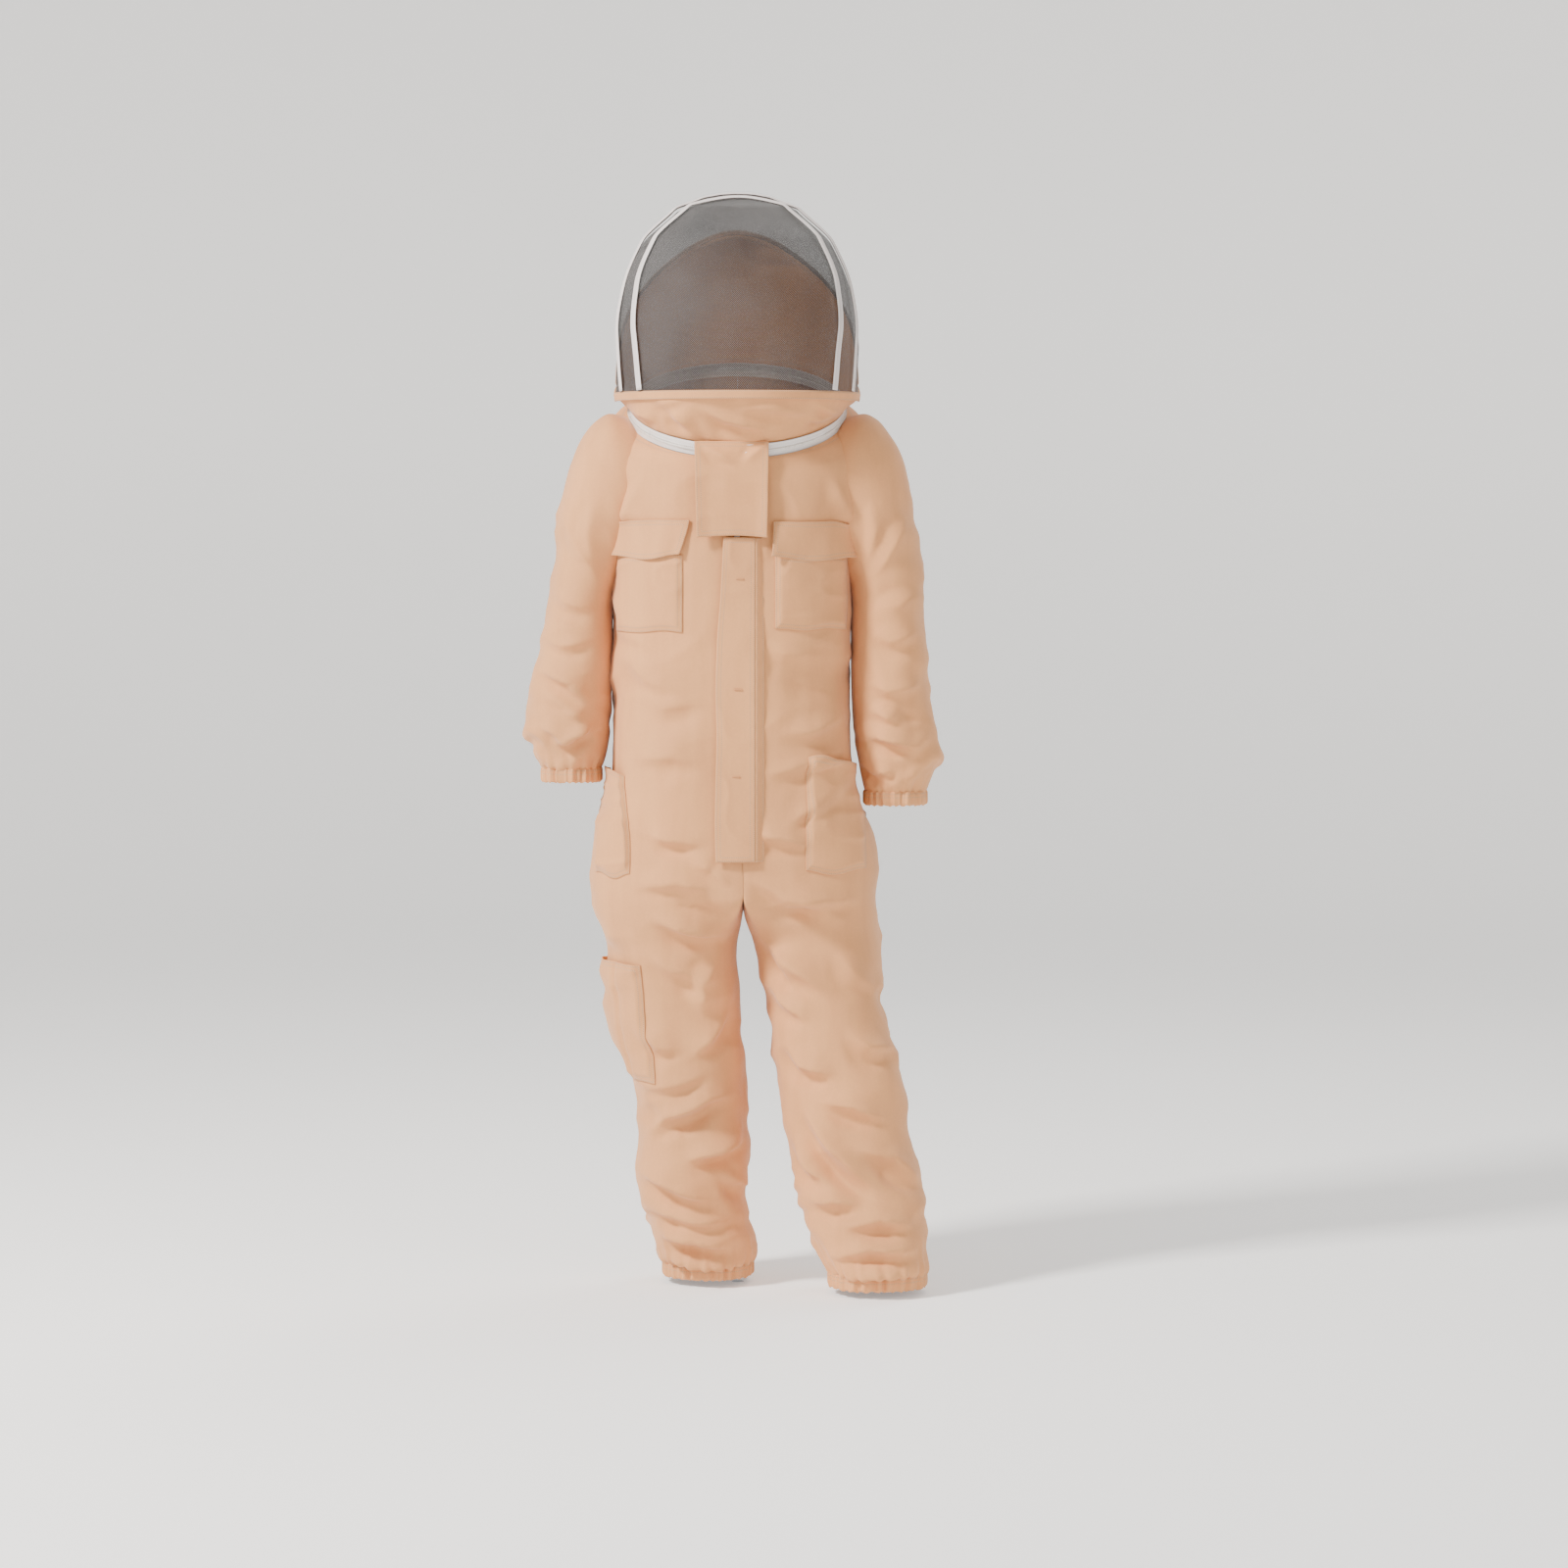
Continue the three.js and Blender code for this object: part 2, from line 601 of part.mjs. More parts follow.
const NECK_COLUMNS = 40;
const neckFrames = Array.from({ length: NECK_COLUMNS }, (_, i) => neckFrame((360 * i) / NECK_COLUMNS));
const lowerTape = rectangle(-ZIP_TAPE, 0, -ZIP_TAPE_HEIGHT, -GAP / 2);
const upperTape = rectangle(-ZIP_TAPE, 0, GAP / 2, ZIP_TAPE_HEIGHT);
add("neck_zip_lower_tape", sweep(neckFrames, lowerTape), WHITE_TAPE, 0.75);
add("neck_zip_upper_tape", sweep(neckFrames, upperTape), WHITE_TAPE, 0.75);
for (const [name, side] of [["left", 1], ["right", -1]]) {
  const spread = 2.4; // half the slider's own length round the ring, in degrees
  const frames = [-spread, 0, spread].map((step) => neckFrame(side * NECK_SLIDER_ANGLE + step));
  const section = rectangle(GAP + 0.4, GAP + SLIDER_RISE - 1.5, 2 - ZIP_TAPE_HEIGHT, ZIP_TAPE_HEIGHT - 2);
  add(`neck_zip_slider_${name}`, sweep(frames, section, false), WHITE_TAPE, 0.4);
}

// ---------------------------------------------------------------- hood
function hoodSection(h, half, front, back, tiltFront, tiltBack) {
  return { h, x: 0, half, middle: MIDDLE_Y, front, back, square: 2.1, tiltFront, tiltBack };
}

const HOOD = [
  hoodSection(HOOD_TOP, 0, MIDDLE_Y, MIDDLE_Y, 0, 0),
  hoodSection(HOOD_TOP - 6, 50, -34, 62, 0, 0),
  hoodSection(305, 91, -78, 102, 0, 0),
  hoodSection(256, 143, -132, 148, 0, 0.05),
  hoodSection(184, 175, -176, 172, 0, 0.15),
  hoodSection(110, 188, -190, 182, 0, 0.3),
  hoodSection(60, 188, -190, 178, 0, 0.42),
  hoodSection(HOOP_LINE, 187, -186, 172, 0.03, 0.48),
  neckSection(NECK_EDGE),
];
const hoodSurface = (u, v) => sectionPoint(stationAt(HOOD, v), u);

const VEIL_LOW = HOOP_LINE + HOOP_BAND_HEIGHT / 2 + GAP;
const BACK_PANEL_TOP = 276;

/** How high the cloth back of the hood reaches at an angle round the hood. */
function backPanelTop(u) {
  const share = (180 - CORNER_ANGLE - Math.abs(180 - u)) / (180 - CORNER_ANGLE);
  return VEIL_LOW + (BACK_PANEL_TOP - VEIL_LOW) * Math.sin((Math.max(share, 0) * Math.PI) / 2) ** 0.8;
}

const HOOD_SEAM = 1.5; // gap between the veil and the cloth back of the hood

function veilHeights(u) {
  const low = Math.max(VEIL_LOW, backPanelTop(u) + HOOD_SEAM / 2);
  const between = [0.14, 0.3, 0.48, 0.66, 0.82, 0.93, 0.98];
  return [low, ...between.map((share) => THREE.MathUtils.lerp(low, HOOD_TOP, share)), HOOD_TOP];
}

add(
  "veil_mesh",
  slab(hoodSurface, {
    from: 0,
    to: 360,
    columns: 40,
    heights: veilHeights,
    inner: -NET,
  }),
  NET_BLACK,
  0.7,
);
add(
  "hood_back_panel",
  slab(hoodSurface, {
    from: CORNER_ANGLE + SEAM_ANGLE,
    to: 360 - CORNER_ANGLE - SEAM_ANGLE,
    columns: 18,
    heights: (u) => [NECK_EDGE, ...evenly(HOOP_LINE, backPanelTop(u) - HOOD_SEAM / 2, 6)],
  }),
);

/** The end of the bib under the hoop's band, at an angle round the hood. */
function bibTop(u) {
  const run = hoodSurface(u, HOOP_LINE).distanceTo(hoodSurface(u, NECK_EDGE));
  return THREE.MathUtils.lerp(NECK_EDGE, HOOP_LINE, 1 - (HOOP_BAND_HEIGHT / 2 + 1) / run);
}

const bibShape = { columns: 22, heights: (u) => evenly(NECK_EDGE, bibTop(u), 3) };
add("bib", slab(hoodSurface, { from: SEAM_ANGLE - CORNER_ANGLE, to: CORNER_ANGLE - SEAM_ANGLE, ...bibShape }));

/** Frames that follow a list of [angle, height] places on the hood. */
function hoodFrames(places, offset) {
  const spots = places.map(([u, v]) => offPoint(hoodSurface, u, v, offset));
  return places.map(([u, v], i) => {
    const next = spots[Math.min(i + 1, spots.length - 1)];
    const before = spots[Math.max(i - 1, 0)];
    const out = offPoint(hoodSurface, u, v, 1).sub(offPoint(hoodSurface, u, v, 0));
    const tangent = next.clone().sub(before).normalize();
    const up = out.clone().cross(tangent).normalize();
    return { origin: spots[i], out: tangent.clone().cross(up), up };
  });
}

const hoopBand = rectangle(-HOOP_BAND / 2, HOOP_BAND / 2, -HOOP_BAND_HEIGHT / 2, HOOP_BAND_HEIGHT / 2);
const hoopAngles = evenly(-CORNER_ANGLE, CORNER_ANGLE, 22).slice(1, -1);
const hoopEnd = CORNER_ANGLE - 1;
const hoopFrames = [-hoopEnd, ...hoopAngles, hoopEnd].map((u) => {
  const origin = hoodSurface(u, HOOP_LINE);
  const out = new THREE.Vector3(origin.x, origin.y - MIDDLE_Y, 0).normalize();
  return { origin, out, up: new THREE.Vector3(0, 0, 1) };
});
add("base_hoop", sweep(hoopFrames, hoopBand, false));

/** The angle at which the hood's surface has a given depth y, at one height. */
function angleAtDepth(height, y) {
  const section = stationAt(HOOD, height);
  const reach = y < MIDDLE_Y ? MIDDLE_Y - section.front : section.back - MIDDLE_Y;
  const share = THREE.MathUtils.clamp((MIDDLE_Y - y) / reach, -1, 1);
  return THREE.MathUtils.radToDeg(Math.acos(signedPower(share, section.square / 2)));
}

const ARCH_STAND = 1.7; // the tape's chords stay clear of the curved net under them

/** An arch of white tape over the veil, from its foot up to its crown and down again. */
function addArch(name, footY, crownY, crownHeight, lean) {
  const steps = 15;
  const half = Array.from({ length: steps }, (_, i) => {
    const share = Math.sin(((i / steps) * Math.PI) / 2);
    const height = THREE.MathUtils.lerp(VEIL_LOW + 1, crownHeight, share);
    const y = THREE.MathUtils.lerp(footY, crownY, share ** lean);
    return [angleAtDepth(height, y), height];
  });
  const crown = [0, crownHeight];
  const mirrored = half.map(([u, v]) => [-u, v]);
  const places = [...mirrored, crown, ...half.reverse()];
  const tape = rectangle(GAP, GAP + HOOP_TAPE, -HOOP_TAPE_WIDTH / 2, HOOP_TAPE_WIDTH / 2);
  add(name, sweep(hoodFrames(places, ARCH_STAND), tape, false), WHITE_TAPE, 0.7);
}

/** The height at which the hood's centre line reaches a given depth in front. */
function crownHeightAt(y) {
  const above = HOOD.findIndex((section) => section.front < y);
  const [high, low] = [HOOD[above - 1], HOOD[above]];
  return THREE.MathUtils.lerp(low.h, high.h, (y - low.front) / (high.front - low.front));
}

const FRONT_ARCH = { foot: -118, crown: -44, lean: 1.7 };
const REAR_ARCH = { foot: -66, crown: 4, lean: 1.2 };
addArch("hoop_front", FRONT_ARCH.foot, FRONT_ARCH.crown, crownHeightAt(FRONT_ARCH.crown), FRONT_ARCH.lean);
addArch("hoop_rear", REAR_ARCH.foot, REAR_ARCH.crown, crownHeightAt(REAR_ARCH.crown), REAR_ARCH.lean);

// ---------------------------------------------------------------- neck tab
const loopFace = PATCH_GAP + PAD;
const hookFace = loopFace + GAP + PAD;
for (const [name, side] of [["left", 1], ["right", -1]]) {
  const section = stationAt(TRUNK, (PAD_TOP + PAD_BOTTOM) / 2);
  const ends = [PAD_INNER_X, PAD_OUTER_X].map((x) => angleAtX(section, side * x));
  const [from, to] = ends.sort((a, b) => a - b);
  const loop = trunkPatch(from, to, PAD_BOTTOM, PAD_TOP, loopFace, PATCH_GAP);
  const hook = trunkPatch(from, to, PAD_BOTTOM, PAD_TOP, hookFace, loopFace + GAP);
  add(`tab_loop_pad_${name}`, loop, PAD_TAN, 0.95);
  add(`tab_hook_pad_${name}`, hook, PAD_TAN, 0.95);
}
const tabBack = FRONT_Y - hookFace - 2 * GAP;
add("neck_tab", box([TAB_RIGHT, tabBack - TAB, TAB_BOTTOM], [TAB_LEFT, tabBack, TAB_TOP]));

export default suit;
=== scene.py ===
"""Beekeeping suit: the cloth, netting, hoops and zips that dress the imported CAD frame."""

import logging
import math
from dataclasses import dataclass, field
from enum import Enum
from typing import Any, Callable, Sequence

import bmesh
import bpy
import numpy as np
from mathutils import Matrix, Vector


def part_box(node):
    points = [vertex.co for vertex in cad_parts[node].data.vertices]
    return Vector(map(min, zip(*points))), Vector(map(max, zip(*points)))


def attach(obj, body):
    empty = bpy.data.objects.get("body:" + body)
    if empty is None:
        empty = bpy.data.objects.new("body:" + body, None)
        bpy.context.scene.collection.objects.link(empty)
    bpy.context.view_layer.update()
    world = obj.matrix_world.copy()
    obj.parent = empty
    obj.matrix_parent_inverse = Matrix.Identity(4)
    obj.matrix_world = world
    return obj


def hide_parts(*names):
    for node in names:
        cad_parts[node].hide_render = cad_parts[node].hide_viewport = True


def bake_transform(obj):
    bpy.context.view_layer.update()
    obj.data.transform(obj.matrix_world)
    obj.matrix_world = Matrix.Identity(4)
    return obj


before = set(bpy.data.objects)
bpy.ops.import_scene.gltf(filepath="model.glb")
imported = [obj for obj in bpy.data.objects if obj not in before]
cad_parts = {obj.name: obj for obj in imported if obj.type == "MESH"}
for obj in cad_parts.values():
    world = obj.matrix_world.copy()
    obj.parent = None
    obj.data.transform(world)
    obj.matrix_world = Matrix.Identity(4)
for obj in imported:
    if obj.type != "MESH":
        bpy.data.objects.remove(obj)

Array = np.ndarray
Point = tuple[float, float, float]
Spot = tuple[float, float]
Piece = bpy.types.Object
log = logging.getLogger("beekeeping_suit")

MIDDLE_Y = 0.014  # depth of the side seams and of the neck ring's centre
NECK_RADIUS = 0.166
NECK_TILT = math.radians(25)  # the neck zip runs lower in front
NECK_AXIS = np.array([0.0, -math.sin(NECK_TILT), math.cos(NECK_TILT)])
HASH_FACTORS = np.array([374761393, 668265263, 1274126177])  # large primes that scatter the noise's cells


class Side(Enum):
    """The side of the suit that a fold is drawn on."""

    FRONT = (0, 2, 1, -1)
    BACK = (0, 2, 1, 1)
    LEFT = (1, 2, 0, 1)
    RIGHT = (1, 2, 0, -1)


class Slot(Enum):
    """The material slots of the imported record."""

    TWILL = "twill"
    TAPE = "white_tape"
    ZIP = "zip_plastic"
    ELASTIC = "elastic"
    HOOK = "hook_and_loop"
    NET = "netting"


# ------------------------------------------------------------------ numbers


def ease(share: Array | float) -> Array | float:
    """A smooth step from 0 to 1."""
    held = np.clip(share, 0.0, 1.0)
    return held * held * (3 - 2 * held)


def between(low: Any, high: Any, share: Any) -> Any:
    """The value a share of the way from low to high."""
    return low + (high - low) * share


def squared(wave: Any, power: float) -> Any:
    """A sine or cosine with its corners filled out by a power below 1, its sign kept."""
    return np.copysign(np.abs(wave) ** power, wave)


def metres(*rows: Sequence[float]) -> tuple[tuple[float, ...], ...]:
    """Rows of a table of sizes, from millimetres."""
    return tuple(tuple(size / 1000 for size in row) for row in rows)


def through(knots: Sequence[float], values: Any, at: Any) -> Array:
    """Smooth values between stations, with no overshoot.

    Args:
        knots: Positions of the stations, rising or falling.
        values: One row of values for each station.
        at: Positions to find values for.

    Returns:
        The values at each position, held at the ends.
    """
    x, y, at = np.asarray(knots, float), np.asarray(values, float), np.asarray(at, float)
    flat = y.ndim == 1
    y = y[:, None] if flat else y
    if x[0] > x[-1]:
        x, y = x[::-1], y[::-1]
    h = np.diff(x)[:, None]
    slope = np.diff(y, axis=0) / h
    tangent = np.empty_like(y)
    tangent[0], tangent[-1] = slope[0], slope[-1]
    first, second = 2 * h[1:] + h[:-1], h[1:] + 2 * h[:-1]
    same = slope[:-1] * slope[1:] > 0
    safe = np.where(same, slope[:-1], 1.0), np.where(same, slope[1:], 1.0)
    mean = (first + second) / (first / safe[0] + second / safe[1])
    tangent[1:-1] = np.where(same, mean, 0.0)
    held = np.clip(at, x[0], x[-1])
    i = np.clip(np.searchsorted(x, held) - 1, 0, len(x) - 2)
    t = ((held - x[i]) / h[i, 0])[..., None]
    step = h[i]
    found = (
        y[i] * (1 + 2 * t) * (1 - t) ** 2
        + tangent[i] * step * t * (1 - t) ** 2
        + y[i + 1] * t * t * (3 - 2 * t)
        - tangent[i + 1] * step * t * t * (1 - t)
    )
    return found[..., 0] if flat else found


def noise(points: Array, size: float | Sequence[float], seed: int) -> Array:
    """Smooth value noise from -1 to 1.

    Args:
        points: Points, three numbers each.
        size: Size of a lump in metres, one number or three.
        seed: Which noise.

    Returns:
        One number for each point.
    """
    place = points / np.asarray(size, float) + seed * 7.31
    cell = np.floor(place).astype(np.int64)
    part = place - cell
    part = part * part * (3 - 2 * part)
    total = np.zeros(points.shape[:-1])
    for corner in range(8):
        step = np.array([corner & 1, corner >> 1 & 1, corner >> 2 & 1])
        at = cell + step
        mixed = (at * HASH_FACTORS).sum(axis=-1) + seed * 69069
        mixed &= 0xFFFFFFFF
        mixed = ((mixed ^ (mixed >> 13)) * HASH_FACTORS[2]) & 0xFFFFFFFF
        value = ((mixed ^ (mixed >> 16)) & 0xFFFFFF) / 0xFFFFFF
        weight = np.prod(np.where(step, part, 1 - part), axis=-1)
        total += weight * value
    return total * 2 - 1


def creases(points: Array, size: Sequence[float], seed: int, bend: float = 0.02) -> Array:
    """Ridges like the wrinkles of used cloth, about 0 on average, 1 at a sharp ridge."""
    warp = np.stack([noise(points, 0.13, seed + k) for k in (11, 12, 13)], axis=-1) * bend
    ridge = 1 - np.abs(noise(points + warp, size, seed))
    return ridge**3 - 0.3


def resampled(line: Array, count: int, share: Array | None = None) -> Array:
    """Points spaced evenly, or at given shares of its length, along a line of points."""
    steps = np.linalg.norm(np.diff(line, axis=0), axis=1)
    run = np.concatenate([[0], np.cumsum(steps)])
    share = np.linspace(0, 1, count) if share is None else share
    return np.stack([np.interp(share * run[-1], run, line[:, k]) for k in range(3)], axis=1)


# ------------------------------------------------------------------ folds


@dataclass(frozen=True)
class Fold:
    """A roll or crease of cloth along a line seen from one side of the suit.

    The line runs across and up. The cloth rises by height along it, over width, and dips
    by lean times the height beside it, on its right hand.
    """

    line: tuple[tuple[float, float], ...]
    width: float = 0.012
    height: float = 0.006
    lean: float = 0.7
    side: Side = Side.FRONT

    def rise(self, points: Array, normals: Array) -> Array:
        """How far the fold lifts each point."""
        across, up, facing, sign = self.side.value
        spot = points[..., [across, up]]
        best = np.full(spot.shape[:-1], 1e9)
        signed, along = np.zeros_like(best), np.zeros_like(best)
        line = np.asarray(self.line, float)
        lengths = np.linalg.norm(np.diff(line, axis=0), axis=1)
        run = np.concatenate([[0], np.cumsum(lengths)])
        for a, b, length, before in zip(line[:-1], line[1:], lengths, run[:-1]):
            way = (b - a) / length
            t = np.clip((spot - a) @ way, 0, length)
            off = spot - (a + t[..., None] * way)
            distance = np.linalg.norm(off, axis=-1)
            nearer = distance < best
            hand = np.sign(way[0] * off[..., 1] - way[1] * off[..., 0])
            best = np.where(nearer, distance, best)
            signed = np.where(nearer, distance * hand, signed)
            along = np.where(nearer, (before + t) / run[-1], along)
        taper = ease(along / 0.45) * ease((1 - along) / 0.45)
        t = signed / (self.width * (0.75 + 0.5 * taper))
        shape = np.exp(-(np.abs(t) ** 1.2)) - self.lean * np.exp(-(((t + 1.45) / 0.95) ** 2))
        shown = ease((normals[..., facing] * sign + 0.1) / 0.45)
        return self.height * shape * taper * shown * (best < 9 * self.width)


def folded(points: Array, normals: Array, folds: Sequence[Fold]) -> Array:
    """The sum of several folds' rises."""
    total = np.zeros(points.shape[:-1])
    for fold in folds:
        total += fold.rise(points, normals)
    return total


def drawn(*rows: Sequence[Any]) -> tuple[Fold, ...]:
    """Folds from rows of a width, a height, a lean, and the points of a line, in millimetres."""
    return tuple(
        Fold(tuple((x / 1000, z / 1000) for x, z in line), width / 1000, height / 1000, lean)
        for width, height, lean, *line in rows
    )


# ------------------------------------------------------------------ cloth


@dataclass
class Cloth:
    """A sheet of cloth as a grid of points, rows down and columns across."""

    points: Array
    closed: bool = False
    kept: Array | None = None
    outward: float = field(default=0.0)

    def __post_init__(self) -> None:
        """Finds which way the outside faces, from the rows' middles."""
        if not self.outward:
            raw = self.raw_normals()
            away = self.points - self.points.mean(axis=1, keepdims=True)
            self.outward = 1.0 if (raw * away).sum() >= 0 else -1.0

    def raw_normals(self) -> Array:
        """Normals by the grid's own order."""
        p = self.points
        if self.closed:
            across = np.roll(p, -1, axis=1) - np.roll(p, 1, axis=1)
        else:
            across = np.gradient(p, axis=1)
        down = np.gradient(p, axis=0)
        normal = np.cross(across, down)
        return normal / np.maximum(np.linalg.norm(normal, axis=-1, keepdims=True), 1e-12)

    @property
    def normals(self) -> Array:
        """Outward normals of all points."""
        return self.raw_normals() * self.outward

    def lift(self, rise: Array, droop: float = 0.0) -> None:
        """Moves the points outward by their rise, and lets the raised ones hang lower."""
        self.points = self.points + self.normals * rise[..., None]
        if droop:
            self.points[..., 2] -= np.clip(rise, 0, None) * droop

    def steps(self) -> tuple[Array, Array]:
        """Metres across and down the cloth at each grid point, one more across where it closes."""
        p = np.concatenate([self.points, self.points[:, :1]], axis=1) if self.closed else self.points
        across = np.cumsum(np.linalg.norm(np.diff(p, axis=1), axis=2), axis=1).mean(axis=0)
        down = np.cumsum(np.linalg.norm(np.diff(p, axis=0), axis=2), axis=0).mean(axis=1)
        return np.concatenate([[0], across]), np.concatenate([[0], down])

    def at(self, rows: Array, columns: Array, height: Array | float = 0.0) -> Array:
        """Points on the cloth at fractional rows and columns, lifted off it by a height."""
        rows, columns = np.broadcast_arrays(np.asarray(rows, float), np.asarray(columns, float))
        last = self.points.shape[1] if self.closed else self.points.shape[1] - 1
        r = np.clip(rows, 0, self.points.shape[0] - 1.001)
        c = columns % last if self.closed else np.clip(columns, 0, last - 0.001)
        i, j = np.floor(r).astype(int), np.floor(c).astype(int)
        next_j = (j + 1) % self.points.shape[1]
        a, b = (r - i)[..., None], (c - j)[..., None]
        out = []
        for grid in (self.points, self.normals):
            top = grid[i, j] * (1 - b) + grid[i, next_j] * b
            low = grid[i + 1, j] * (1 - b) + grid[i + 1, next_j] * b
            out.append(top * (1 - a) + low * a)
        lift = np.broadcast_to(np.asarray(height, float), rows.shape)[..., None]
        return out[0] + out[1] * lift

    def mesh(self, name: str, finish: "Finish", thickness: float = 0.0, inset: float = 0.0) -> Piece:
        """Makes the mesh object, with the cloth's own metres kept on it for the weave and stitches.

        Args:
            name: Name of the piece.
            finish: What it is made of.
            thickness: Thickness of the cloth in metres, or 0 for a single skin.
            inset: Distance of the stitch line from the cloth's edges, or 0 for none.

        Returns:
            The new object, in place in the frame.
        """
        rows, columns = self.points.shape[:2]
        spans = columns if self.closed else columns - 1
        i, j = np.meshgrid(np.arange(rows - 1), np.arange(spans), indexing="ij")
        k = (j + 1) % columns
        quads = np.stack([i * columns + j, i * columns + k, (i + 1) * columns + k, (i + 1) * columns + j], -1)
        u, v = self.steps()
        corner_u = np.stack([u[j], u[j + 1], u[j + 1], u[j]], -1)
        corner_v = np.stack([v[i], v[i], v[i + 1], v[i + 1]], -1)
        edge = np.minimum(corner_v, v[-1] - corner_v)
        if not self.closed:
            edge = np.minimum(edge, np.minimum(corner_u, u[-1] - corner_u))
        values = np.stack([corner_u, corner_v, edge - inset if inset else np.full_like(edge, 1.0)], -1)
        use = np.ones(quads.shape[:2], bool) if self.kept is None else self.kept
        quads, values = quads[use], values[use]
        order = [0, 1, 2, 3] if self.outward > 0 else [3, 2, 1, 0]
        quads, values = quads[:, order], values[:, order]
        return solid(name, self.points.reshape(-1, 3), quads, finish, thickness, values)


def solid(
    name: str,
    points: Array,
    faces: Any,
    finish: "Finish",
    thickness: float = 0.0,
    values: Array | None = None,
    smooth: bool = True,
) -> Piece:
    """Makes a mesh object from points and faces.

    Args:
        name: Name of the piece.
        points: Its points.
        faces: Its faces, as lists of point numbers.
        finish: What it is made of.
        thickness: Thickness given to an open sheet.
        values: Metres across and down the cloth, and from its stitches, at each corner.
        smooth: Whether it is shaded smooth.

    Returns:
        The new object.
    """
    name = f"{name}_sewn" if name in bpy.data.objects else name
    mesh = bpy.data.meshes.new(name)
    rows = faces.tolist() if isinstance(faces, np.ndarray) else faces
    mesh.from_pydata(points.tolist(), [], rows)
    if values is None:
        flat = points[np.concatenate([np.asarray(f) for f in rows])]
        values = np.stack([flat[:, 0] + flat[:, 1], flat[:, 2], np.full(len(flat), 1.0)], -1)
    note = mesh.attributes.new("cloth", "FLOAT_VECTOR", "CORNER")
    note.data.foreach_set("vector", values.reshape(-1).astype(np.float32))
    mesh.polygons.foreach_set("use_smooth", [smooth] * len(mesh.polygons))
    made = bpy.data.objects.new(name, mesh)
    bpy.context.scene.collection.objects.link(made)
    mesh.materials.append(finish.material())
    if thickness:
        wall = made.modifiers.new("thickness", "SOLIDIFY")
        wall.thickness, wall.offset, wall.use_even_offset = thickness, -1.0, False
    return made


def drop_loose(made: Piece) -> None:
    """Removes points that no face uses."""
    work = bmesh.new()
    work.from_mesh(made.data)
    bmesh.ops.delete(work, geom=[v for v in work.verts if not v.link_faces], context="VERTS")
    work.to_mesh(made.data)
    work.free()


def place(made: Piece, body: str, slot: Slot, nodes: Sequence[str] = (), **sheet: Any) -> None:
    """Puts a piece on its body and hides the CAD nodes that it stands for.

    Args:
        made: The piece.
        body: The body that it rides on, or nothing for a piece that is left unparented.
        slot: Its material slot; not used.
        nodes: The CAD nodes that it stands for.
    """
    if body:
        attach(made, body)
    if nodes:
        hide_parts(*nodes)
    log.info("%s: %d points", made.name, len(made.data.vertices))


def directed(cloth: Cloth, way: Sequence[float]) -> Cloth:
    """The same sheet, with its outside towards a direction."""
    cloth.outward = 1.0 if cloth.raw_normals().mean(axis=(0, 1)) @ np.array(way) >= 0 else -1.0
    return cloth




# ------------------------------------------------------------------ finishes


def maths(kind: str) -> Callable[..., "Value"]:
    """A method of Value that adds a Math node of one kind, on the value and any others."""

    def method(self: "Value", *others: Any) -> "Value":
        """Adds the node."""
        sockets = {0: self, **{k + 1: other for k, other in enumerate(others)}}
        return self.tree.node("ShaderNodeMath", {"operation": kind}, sockets)

    return method


@dataclass
class Value:
    """A number or colour socket that plain arithmetic adds nodes to."""

    tree: "Shader"
    link: Any

    __add__ = __radd__ = maths("ADD")
    __sub__ = maths("SUBTRACT")
    __mul__ = __rmul__ = maths("MULTIPLY")
    __truediv__ = maths("DIVIDE")
    less, more = maths("LESS_THAN"), maths("GREATER_THAN")
    lower, higher = maths("MINIMUM"), maths("MAXIMUM")
    part, size, wave = maths("FRACT"), maths("ABSOLUTE"), maths("SINE")

    def spread(self, low: float, high: float, to_low: float = 0.0, to_high: float = 1.0) -> "Value":
        """This value's range, mapped to another and held inside it."""
        sockets = {0: self, 1: low, 2: high, 3: to_low, 4: to_high}
        return self.tree.node("ShaderNodeMapRange", {"clamp": True}, sockets)


